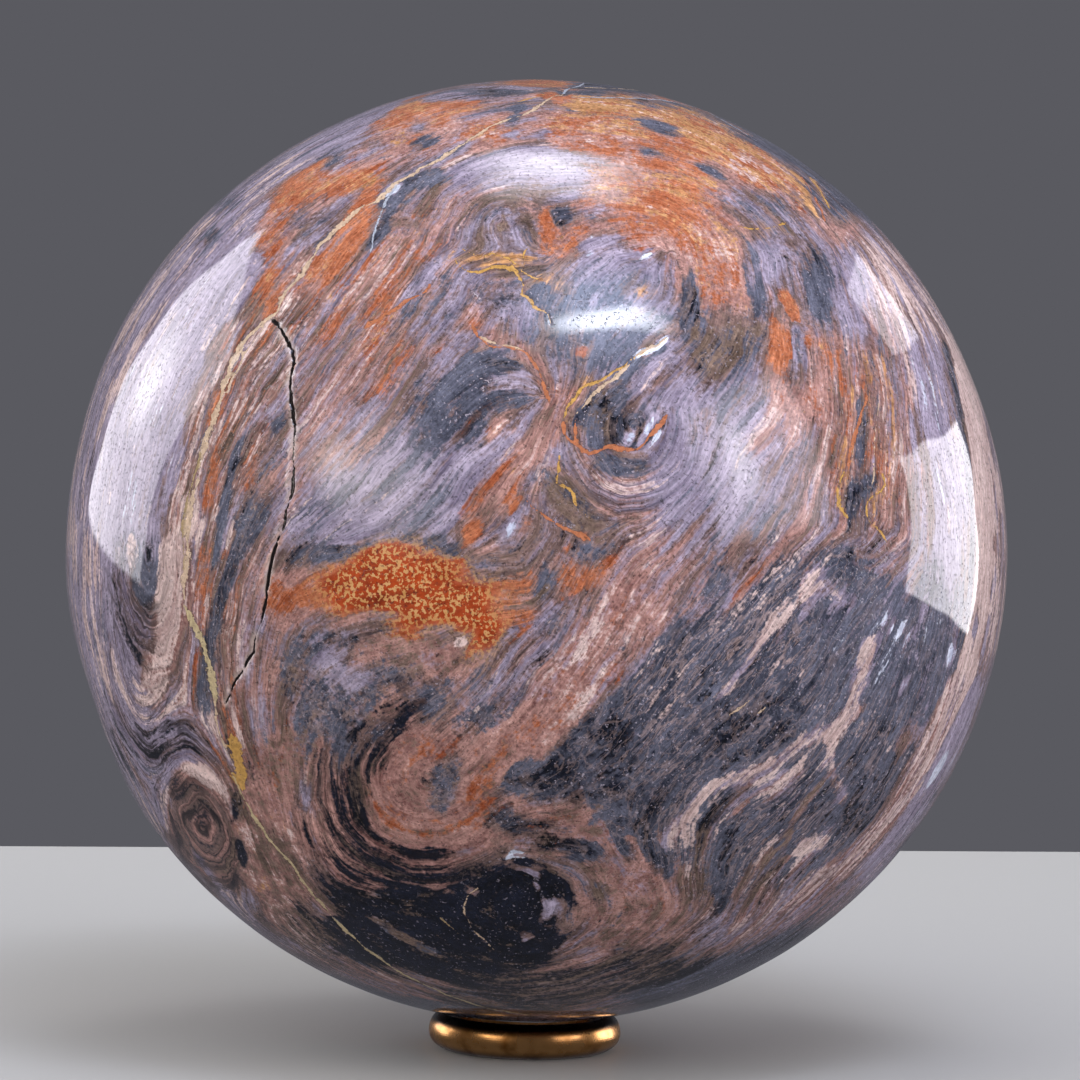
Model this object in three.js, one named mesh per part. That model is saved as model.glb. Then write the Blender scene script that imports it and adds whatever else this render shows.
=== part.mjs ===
// A polished stone ball resting on a small brass ring stand.
// Millimetres, +Z up. The origin is the centre of the ring's foot, on the ground.
// The front of the ball, with the long crack on its left, faces -Y.
import * as THREE from "three";
import { mergeVertices } from "three/addons/utils/BufferGeometryUtils.js";

// Ball
const ballDiameter = 150;
const ballDetail = 15; // each edge of the icosahedron is cut in ballDetail + 1 parts
const restGap = 0.3; // clearance between the ball and the ring's rim

// The ball is ground by hand, so a few shallow flats and one worn nick leave the true round.
// Each lies at an angle on the outline seen from the front, counted from +X towards +Z, and may
// be turned towards the front by a further angle.
const ballFlats = [
  { name: "lower left flat", angle: 199.3, towardsFront: 4, spread: 9, depth: 0.95 },
  { name: "left flat", angle: 173.3, towardsFront: 0, spread: 14, depth: 0.4 },
  { name: "right flat", angle: 25.3, towardsFront: 0, spread: 13, depth: 0.35 },
  { name: "back flat", angle: 150, towardsFront: -80, spread: 16, depth: 0.45 },
  { name: "nick where the vein crosses the top", angle: 88.3, towardsFront: 6, spread: 5, depth: 0.55 },
];

// Ring stand
const ringDiameter = 30.7; // at the widest, the middle of the belly
const ringHeight = 5.7;
const rimDiameter = 26.4; // the top edge, where the rounded shoulder meets the sloped seat
const bellyHeight = 2.7; // centre of the belly's arc above the ground
const footDiameter = 24.4; // flat underside, outer edge
const boreDiameter = 21;
const boreChamfer = 0.5;
const seatHeight = 4.2; // where the sloped seat meets the bore
const ringSides = 72;
const arcSteps = 7;

const degrees = Math.PI / 180;
const weldDistance = 0.001;

// The ball's local sink below the true round, in millimetres, for a unit direction
function flatDepth(direction) {
  let sink = 0;
  for (const flat of ballFlats) {
    const across = Math.cos(flat.towardsFront * degrees);
    const centre = new THREE.Vector3(
      Math.cos(flat.angle * degrees) * across,
      -Math.sin(flat.towardsFront * degrees),
      Math.sin(flat.angle * degrees) * across,
    );
    const away = centre.angleTo(direction) / (flat.spread * degrees);
    sink += flat.depth * Math.exp(-away * away);
  }
  return sink;
}

// Height of the ball's lowest point, so that it just clears the rim all the way round
function ballBase() {
  const radius = ballDiameter / 2;
  const contactRadius = rimDiameter / 2;
  const drop = radius - Math.sqrt(radius * radius - contactRadius * contactRadius);
  return ringHeight + restGap - drop;
}

function makeBall() {
  const radius = ballDiameter / 2;
  const round = new THREE.IcosahedronGeometry(radius, ballDetail);
  round.deleteAttribute("normal");
  round.deleteAttribute("uv");
  const geometry = mergeVertices(round, weldDistance);
  const position = geometry.getAttribute("position");
  const direction = new THREE.Vector3();
  for (let i = 0; i < position.count; i++) {
    direction.fromBufferAttribute(position, i).normalize();
    const reach = radius - flatDepth(direction);
    position.setXYZ(i, direction.x * reach, direction.y * reach, direction.z * reach);
  }
  geometry.computeVertexNormals();
  const stone = new THREE.MeshStandardMaterial({ color: 0x85706c, roughness: 0.12, metalness: 0 });
  const ball = new THREE.Mesh(geometry, stone);
  ball.name = "sphere";
  ball.position.set(0, 0, ballBase() + radius);
  return ball;
}

// Points on an arc of a circle in the ring's section, from one angle to another in degrees
function sectionArc(centreR, centreZ, radiusR, radiusZ, from, to, steps) {
  const points = [];
  for (let i = 0; i <= steps; i++) {
    const turn = (from + ((to - from) * i) / steps) * degrees;
    points.push(new THREE.Vector2(centreR + radiusR * Math.cos(turn), centreZ + radiusZ * Math.sin(turn)));
  }
  return points;
}

// The section runs up the outside to the rim, down the seat and the bore, and back under the foot.
function ringSection() {
  const widest = ringDiameter / 2;
  const foot = footDiameter / 2;
  const rim = rimDiameter / 2;
  const bore = boreDiameter / 2;
  const shoulder = ringHeight - bellyHeight;
  const points = [
    ...sectionArc(foot, bellyHeight, widest - foot, bellyHeight, -90, 0, arcSteps),
    ...sectionArc(rim, bellyHeight, widest - rim, shoulder, 0, 90, arcSteps).slice(1),
    new THREE.Vector2(bore, seatHeight),
    new THREE.Vector2(bore, boreChamfer),
    new THREE.Vector2(bore + boreChamfer, 0),
  ];
  points.push(points[0].clone());
  return points;
}

function makeRing() {
  const turned = new THREE.LatheGeometry(ringSection(), ringSides);
  turned.rotateX(Math.PI / 2);
  turned.deleteAttribute("normal");
  turned.deleteAttribute("uv");
  const geometry = mergeVertices(turned, weldDistance);
  geometry.computeVertexNormals();
  const brass = new THREE.MeshStandardMaterial({ color: 0xb07a3a, roughness: 0.28, metalness: 1 });
  const ring = new THREE.Mesh(geometry, brass);
  ring.name = "ring";
  return ring;
}

const sphereOnStand = new THREE.Group();
sphereOnStand.name = "stone sphere on its ring stand";
sphereOnStand.add(makeBall(), makeRing());

export default sphereOnStand;
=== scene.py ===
# A polished ball of fibrous, brecciated quartz rock, resting on a small brass ring stand.
import bpy
import math
import numpy as np
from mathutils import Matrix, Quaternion, Vector


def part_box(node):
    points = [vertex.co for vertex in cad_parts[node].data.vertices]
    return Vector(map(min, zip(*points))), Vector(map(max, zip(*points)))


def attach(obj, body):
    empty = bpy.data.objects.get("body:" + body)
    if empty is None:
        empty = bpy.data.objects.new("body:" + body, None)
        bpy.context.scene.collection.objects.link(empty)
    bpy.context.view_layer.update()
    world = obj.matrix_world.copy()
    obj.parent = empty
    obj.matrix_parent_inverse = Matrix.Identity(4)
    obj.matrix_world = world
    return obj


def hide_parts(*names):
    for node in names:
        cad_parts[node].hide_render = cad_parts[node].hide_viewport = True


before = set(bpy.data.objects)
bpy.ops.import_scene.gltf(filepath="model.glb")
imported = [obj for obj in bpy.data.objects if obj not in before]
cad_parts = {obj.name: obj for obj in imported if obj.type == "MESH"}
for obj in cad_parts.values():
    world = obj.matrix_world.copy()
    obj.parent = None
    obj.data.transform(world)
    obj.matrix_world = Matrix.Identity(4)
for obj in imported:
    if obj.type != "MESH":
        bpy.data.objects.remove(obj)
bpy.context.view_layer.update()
scene = bpy.context.scene
mm = 0.001

# Camera

shot = {
    "framePixels": 1080,  # the photograph's side
    "ballPixel": (535.5, 551),  # where the ball's centre falls
    "ballRadiusPixels": 472,
    "distance": 1.2,  # lens to the ball's centre
    "lensHeight": 0.18,  # above the ground, so the lens looks 5 degrees down at the ball and 8 at the ring
    "roll": 1.3,  # the camera leans by this many degrees, so the ring stands left of the ball's middle
    "nearest": 0.05, "farthest": 20,  # what the lens draws, metres
}
ball = {
    "radius": 0.075,
    "icoLevel": 5,
    "cuts": 4,  # each triangle edge of that level in five
    "fineReach": 1.2 * mm,  # the mesh is halved once this near a vein or a small patch
    "finestReach": 0.55 * mm,  # and once more this near a vein
    "smallPatch": 11, "patchReach": 5,  # half width of a small patch, and how far past its edge, in pixels
}
ballLow = Vector(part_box("sphere")[0])
ballCentre = Vector((0, 0, ballLow.z + ball["radius"]))

outlineDistance = math.sqrt(shot["distance"] ** 2 - ball["radius"] ** 2)
focalPixels = shot["ballRadiusPixels"] * outlineDistance / ball["radius"]
lensDrop = shot["lensHeight"] - ballCentre.z
lensPlace = Vector((0, -math.sqrt(shot["distance"] ** 2 - lensDrop ** 2), shot["lensHeight"]))
halfFrame = shot["framePixels"] / 2
perPixel = shot["distance"] / focalPixels
towardsBall = (ballCentre - lensPlace).normalized()
acrossSight = towardsBall.cross(Vector((0, 0, 1))).normalized()
upSight = acrossSight.cross(towardsBall)
roll = math.radians(shot["roll"])
lead = Vector((halfFrame - shot["ballPixel"][0], shot["ballPixel"][1] - halfFrame)) * perPixel
aimPoint = ballCentre + (
    acrossSight * (lead.x * math.cos(roll) - lead.y * math.sin(roll))
    + upSight * (lead.x * math.sin(roll) + lead.y * math.cos(roll)))

bpy.ops.object.camera_add(location=lensPlace)
camera = bpy.context.object
camera.name = "camera"
sightTurn = (aimPoint - lensPlace).to_track_quat("-Z", "Y") @ Quaternion((0, 0, 1), roll)
camera.rotation_euler = sightTurn.to_euler()
camera.data.angle = 2 * math.atan(halfFrame / focalPixels)
camera.data.clip_start = shot["nearest"]
camera.data.clip_end = shot["farthest"]
scene.camera = camera
scene.view_settings.view_transform = "Standard"

sight = np.array(sightTurn.to_matrix())
lensRight, lensUp, lensForward = sight[:, 0], sight[:, 1], -sight[:, 2]
lens = np.array(lensPlace)
centre = np.array(ballCentre)


def unit(vectors):  # each row with a length of one
    return vectors / np.linalg.norm(vectors, axis=-1, keepdims=True)


def photoPixels(points):  # where world points fall in the photograph
    away = points - lens
    depth = away @ lensForward
    across = halfFrame + focalPixels * (away @ lensRight) / depth
    down = halfFrame - focalPixels * (away @ lensUp) / depth
    return np.stack([across, down], 1)


def onBall(pixels):  # the unit directions from the ball's centre that the photograph shows at these pixels
    pixels = np.atleast_2d(np.array(pixels, float))
    ray = unit(lensForward + np.outer((pixels[:, 0] - halfFrame) / focalPixels, lensRight)
               - np.outer((pixels[:, 1] - halfFrame) / focalPixels, lensUp))
    toCentre = centre - lens
    nearest = ray @ toCentre
    gap = ball["radius"] ** 2 - (toCentre @ toCentre - nearest ** 2)
    return unit(lens + ray * (nearest - np.sqrt(np.clip(gap, 0, None)))[:, None] - centre)


print("camera set", round(math.degrees(camera.data.angle), 2), "degrees")

# Lights

softboxes = {
    # name: (its reflection's centre pixel, width, height, turn in degrees, radiance, fading share, colour)
    "leftBox": ((158, 402), 0.56, 0.70, -12, 3.3, 0.03, "#fbf7ff"),
    "leftBulb": ((160, 388), 0.34, 0.30, 0, 4.0, 0.5, "#ffffff"),
    "topBox": ((557, 182), 0.46, 0.38, 6, 4.2, 0.28, "#fdfbff"),
    "topBulb": ((545, 176), 0.26, 0.18, 8, 3.5, 0.5, "#ffffff"),
    "barGlow": ((594, 318), 0.66, 0.55, -6, 8.0, 0.5, "#cfdcff"),
    "barLight": ((604, 328), 0.50, 0.12, -6, 22.0, 0.45, "#f2f6ff"),
    "rightBox": ((940, 525), 0.55, 0.36, -8, 5.0, 0.03, "#fffaff"),
    "upperRightBox": ((876, 312), 0.28, 0.18, -20, 3.0, 0.06, "#fbf4ff"),
    "frontLeftFill": ((385, 478), 0.80, 0.50, -38, 3.0, 0.5, "#fff4ee"),
    "frontLeftBulb": ((342, 470), 0.42, 0.26, -38, 4.2, 0.5, "#fff4ee"),
    "frontRightFill": ((752, 462), 0.58, 0.56, 4, 3.0, 0.14, "#fdf4ff"),
    "frontRightBulb": ((732, 462), 0.20, 0.40, 0, 5.5, 0.5, "#ffffff"),
}
boxDistance = 0.9  # metres from the ball
bulbDistance = 0.88  # the bulbs and the bar's two lamps stand in front of the boxes
fills = {
    # name: (degrees round from the front, degrees up, spread, strength); they light the stone's body only
    "keyFill": (-20, 58, 70, 1.55),
    "rightFill": (55, 25, 90, 1.1),
    "leftFill": (-75, 15, 90, 0.95),
}
backdropColour = "#5a5a60"
floorValues = {  # metres, and the turn of the far edge in degrees
    "width": 6.0, "front": 3.2, "behind": 0.259, "turn": -8, "colour": "#adadab", "roughness": 0.55}


def linear(hexColour):  # an sRGB hex value as linear red, green, blue and alpha
    parts = [int(hexColour[i:i + 2], 16) / 255 for i in (1, 3, 5)]
    return [c / 12.92 if c <= 0.04045 else ((c + 0.055) / 1.055) ** 2.4 for c in parts] + [1]


# Adds one node and sets or links its inputs. A node given as an input stands for its result.
def addNode(tree, kind, inputs, **settings):
    node = tree.nodes.new("ShaderNode" + kind)
    for key, value in settings.items():
        setattr(node, key, value)
    for key, value in inputs.items():
        if isinstance(value, bpy.types.Node):
            value = next(result for result in value.outputs if result.enabled)
        if isinstance(value, bpy.types.NodeSocket):
            tree.links.new(value, node.inputs[key])
        else:
            node.inputs[key].default_value = value
    return node


def addSoftbox(name, pixel, width, height, turn, radiance, fade, colour):
    normal = onBall([pixel])[0]
    ray = unit(centre + normal * ball["radius"] - lens)
    bounce = Vector(ray - 2 * (ray @ normal) * normal)
    distance = bulbDistance if "Bulb" in name or "bar" in name else boxDistance
    bpy.ops.object.light_add(type="AREA", location=ballCentre + bounce * distance)
    lamp = bpy.context.object
    lamp.name = name
    lamp.rotation_euler = bounce.to_track_quat("Z", "Y").to_euler()
    lamp.rotation_euler.rotate_axis("Z", math.radians(turn))
    lamp.data.shape = "RECTANGLE"
    lamp.data.size = width
    lamp.data.size_y = height
    lamp.data.energy = radiance * width * height * math.pi
    lamp.data.color = linear(colour)[:3]
    lamp.data.use_nodes = True
    tree = lamp.data.node_tree
    spot = addNode(tree, "NewGeometry", {}).outputs["Parametric"]
    fromMiddle = addNode(tree, "VectorMath", {0: spot, 1: (0.5, 0.5, 0.5)}, operation="SUBTRACT")
    away = addNode(tree, "VectorMath", {0: fromMiddle}, operation="ABSOLUTE")
    parts = addNode(tree, "SeparateXYZ", {0: away})
    inside = [addNode(tree, "MapRange", {
        "Value": parts.outputs[k], "From Min": 0.5 - fade, "From Max": 0.5, "To Min": 1.0, "To Max": 0.0},
        interpolation_type="SMOOTHSTEP") for k in range(2)]
    both = addNode(tree, "Math", {0: inside[0], 1: inside[1]}, operation="MULTIPLY")
    tree.links.new(both.outputs[0], tree.nodes["Emission"].inputs["Strength"])


def addFill(name, around, up, spread, strength):
    towards = Vector(fromDegrees(around, up))
    bpy.ops.object.light_add(type="SUN", location=ballCentre + towards)
    fill = bpy.context.object
    fill.name = name
    fill.rotation_euler = towards.to_track_quat("Z", "Y").to_euler()
    fill.data.angle = math.radians(spread)
    fill.data.energy = strength
    fill.visible_glossy = False


def fromDegrees(around, up):  # a unit direction from degrees round to the right of the front, and degrees up
    around, up = np.radians(around), np.radians(up)
    return np.stack([np.sin(around) * np.cos(up), -np.cos(around) * np.cos(up), np.sin(up)], -1)


for boxName, boxRow in softboxes.items():
    addSoftbox(boxName, *boxRow)
for fillName, fillRow in fills.items():
    addFill(fillName, *fillRow)
print("lamps placed", len(softboxes) + len(fills))


def newMaterial(name):
    material = bpy.data.materials.new(name)
    material.use_nodes = True
    material.node_tree.nodes.clear()
    return material, material.node_tree


def addBackdrop():
    scene.world = bpy.data.worlds.new("studioGrey")
    scene.world.use_nodes = True
    backdrop = scene.world.node_tree.nodes["Background"]
    backdrop.inputs["Color"].default_value = linear(backdropColour)
    backdrop.inputs["Strength"].default_value = 1.0


def addFloor():
    front, behind = floorValues["front"], floorValues["behind"]
    bpy.ops.object.select_all(action="DESELECT")
    bpy.ops.mesh.primitive_plane_add(size=1, location=(0, (behind - front) / 2, 0))
    floor = bpy.context.object
    floor.name = "floor"
    floor.scale = (floorValues["width"], front + behind, 1)
    bpy.ops.object.transform_apply(location=True, rotation=True, scale=True)
    bpy.ops.transform.rotate(
        value=math.radians(floorValues["turn"]), orient_axis="Z", center_override=(0, behind, 0))
    bpy.ops.object.transform_apply(location=True, rotation=True, scale=True)
    material, tree = newMaterial("paleMattPaint")
    shader = addNode(tree, "BsdfPrincipled", {
        "Base Color": linear(floorValues["colour"]), "Roughness": floorValues["roughness"]})
    addNode(tree, "OutputMaterial", {"Surface": shader})
    floor.data.materials.append(material)
    floor.visible_glossy = False


addBackdrop()
addFloor()

# Drawing on the ball, in the photograph's pixels

veins = {
    # name: (kind, width in millimetres at the start and the end, points)
    "mainVeinTop": ("cream", 0.3, 0.75, [(566, 88), (548, 100), (527, 113), (500, 122), (480, 133),
        (458, 147), (436, 160), (415, 172), (398, 182), (385, 193), (378, 200), (362, 208)]),
    "mainVeinMiddle": ("cream", 0.7, 1.0, [(366, 203), (350, 216), (336, 230), (322, 244), (305, 268),
        (293, 285), (282, 298), (277, 312), (266, 320), (252, 333), (240, 349), (231, 364), (226, 379),
        (222, 392), (219, 405), (212, 422), (206, 440), (201, 458), (199, 475)]),
    "mainVeinTwin": ("cream", 0.25, 0.35, [(264, 326), (252, 342), (241, 360), (232, 378), (226, 396)]),
    "mainVeinLower": ("cream", 0.95, 1.0, [(199, 475), (194, 492), (190, 512), (187, 535), (186, 558),
        (184, 580), (183, 606)]),
    "mainVeinLowerTwin": ("olive", 0.45, 0.35, [(206, 440), (196, 470), (186, 505), (182, 540), (184, 575),
        (183, 604)]),
    "mainVeinKnee": ("straw", 0.75, 0.75, [(183, 602), (190, 617), (199, 634), (205, 652), (211, 672),
        (215, 692), (216, 706)]),
    "mainVeinHook": ("cream", 0.35, 0.35, [(214, 690), (215, 708), (218, 728), (223, 742), (229, 752)]),
    "mainVeinFoot": ("straw", 0.5, 0.42, [(231, 770), (237, 785), (244, 797), (251, 812), (262, 830),
        (275, 847), (289, 861), (300, 877), (312, 893), (326, 910), (341, 926), (357, 941), (377, 957),
        (400, 972), (425, 985), (452, 997), (482, 1007), (512, 1013), (545, 1016)]),
    "pocketEdge": ("ice", 0.28, 0.2, [(398, 182), (388, 196), (382, 210), (376, 224), (373, 236), (373, 246),
        (366, 258)]),
    "topRightLine": ("ice", 0.35, 0.3, [(567, 97), (600, 97), (640, 98), (668, 101), (700, 109), (730, 124),
        (765, 146)]),
    "topStep": ("ice", 0.4, 0.3, [(562, 90), (570, 85), (585, 82)]),
    "goldHubLeft": ("gold", 0.25, 0.5, [(452, 258), (462, 268), (478, 271), (496, 266), (510, 268),
        (520, 274)]),
    "goldHubUpper": ("gold", 0.25, 0.32, [(462, 249), (480, 256), (494, 253), (508, 258), (522, 268)]),
    "goldHubTop": ("gold", 0.2, 0.3, [(528, 246), (522, 256), (526, 264), (520, 272)]),
    "goldHubKnot": ("gold", 0.5, 0.6, [(509, 266), (516, 270), (521, 280)]),
    "goldHubDown": ("gold", 0.45, 0.22, [(517, 274), (524, 284), (522, 293), (531, 300), (537, 309),
        (546, 314), (552, 327)]),
    "goldHubRight": ("gold", 0.4, 0.2, [(520, 270), (532, 276), (541, 279)]),
    "goldFade": ("rust", 0.35, 0.5, [(433, 283), (418, 295), (402, 305), (385, 316), (362, 330)]),
    "orangeArc": ("rust", 0.3, 0.45, [(470, 322), (478, 336), (488, 344), (505, 347), (520, 351), (532, 361),
        (540, 374), (546, 392), (551, 408)]),
    "orangeArcCream": ("cream", 0.3, 0.3, [(478, 336), (490, 342), (510, 345), (524, 350)]),
    "creamSweep": ("cream", 0.35, 0.55, [(668, 334), (658, 344), (642, 351), (630, 364), (614, 378),
        (598, 392), (585, 404), (574, 416)]),
    "goldSweep": ("gold", 0.3, 0.5, [(650, 348), (630, 362), (610, 374), (594, 384), (580, 389), (572, 402),
        (562, 420)]),
    "orangeHook": ("rust", 0.45, 0.4, [(576, 420), (574, 432), (578, 444), (590, 452), (606, 447),
        (622, 450), (638, 448), (648, 438), (660, 425), (670, 412)]),
    "orangeHookLeft": ("rust", 0.4, 0.3, [(562, 420), (566, 434), (576, 444), (582, 454)]),
    "goldThread": ("gold", 0.25, 0.3, [(558, 452), (558, 470), (556, 484), (566, 487), (574, 493),
        (577, 504), (583, 512), (592, 520)]),
    "orangeStrand": ("rust", 0.35, 0.55, [(524, 498), (536, 508), (552, 522), (566, 528), (580, 534),
        (594, 541)]),
    "goldLoopLeft": ("gold", 0.3, 0.55, [(845, 470), (840, 482), (838, 497), (842, 511), (850, 519)]),
    "goldLoopRight": ("gold", 0.35, 0.3, [(882, 472), (886, 485), (880, 492), (868, 500), (866, 512),
        (872, 524), (882, 532), (887, 542)]),
    "tanStrandA": ("rust", 0.45, 0.4, [(868, 395), (860, 420), (852, 445), (848, 470)]),
    "tanStrandB": ("cream", 0.25, 0.25, [(880, 400), (876, 430), (874, 460), (872, 490)]),
    "yellowSliver": ("gold", 0.3, 0.55, [(508, 102), (520, 101), (534, 97), (546, 93)]),
    "yellowUnder": ("gold", 0.2, 0.3, [(737, 226), (755, 229), (772, 227), (788, 222)]),
    "orangeLineA": ("rust", 0.3, 0.35, [(800, 174), (812, 192), (822, 212), (826, 224)]),
    "orangeLineB": ("gold", 0.3, 0.35, [(806, 172), (820, 190), (832, 212)]),
    "paleScratchA": ("lilac", 0.18, 0.12, [(462, 283), (472, 292), (480, 300)]),
    "paleScratchB": ("lilac", 0.16, 0.12, [(478, 377), (492, 383), (500, 388)]),
    "navyScratch": ("cream", 0.22, 0.14, [(727, 717), (742, 706), (756, 697)]),
    "navyScratchB": ("cream", 0.18, 0.12, [(757, 716), (766, 706), (773, 697)]),
    "goldLens": ("gold", 2.4, 2.2, [(231, 734), (235, 748), (239, 765), (243, 792)]),
    "ballRim": ("cream", 0.14, 0.2, [(480, 885), (468, 897), (465, 912), (474, 930), (486, 942),
        (496, 952)]),
    "blackStreakB": ("olive", 0.16, 0.16, [(438, 918), (448, 925), (458, 934)]),
}
fissures = {
    # name: (width in millimetres at the start and the end, points)
    "mainFissure": (0.42, 0.32, [
        (272, 320), (280, 330), (287, 343), (294, 357), (291, 370), (290, 385), (290, 400), (293, 415),
        (294, 430), (293, 452), (293, 472), (291, 492), (287, 505), (284, 522), (278, 540), (272, 557),
        (268, 575), (266, 592), (263, 610), (258, 628), (253, 646), (246, 664), (240, 675), (232, 688),
        (224, 703)]),
}
# A patch is (centre across, centre down, half width, half height, turn), in pixels and clockwise degrees.
# A band is (half width, points).
chips = {
    # name: (patch, depth in millimetres)
    "fissureChip": ((293, 348, 3.5, 13, -12), 0.35),
    "topNick": ((563, 91, 7, 5, 0), 0.35),
}

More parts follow.
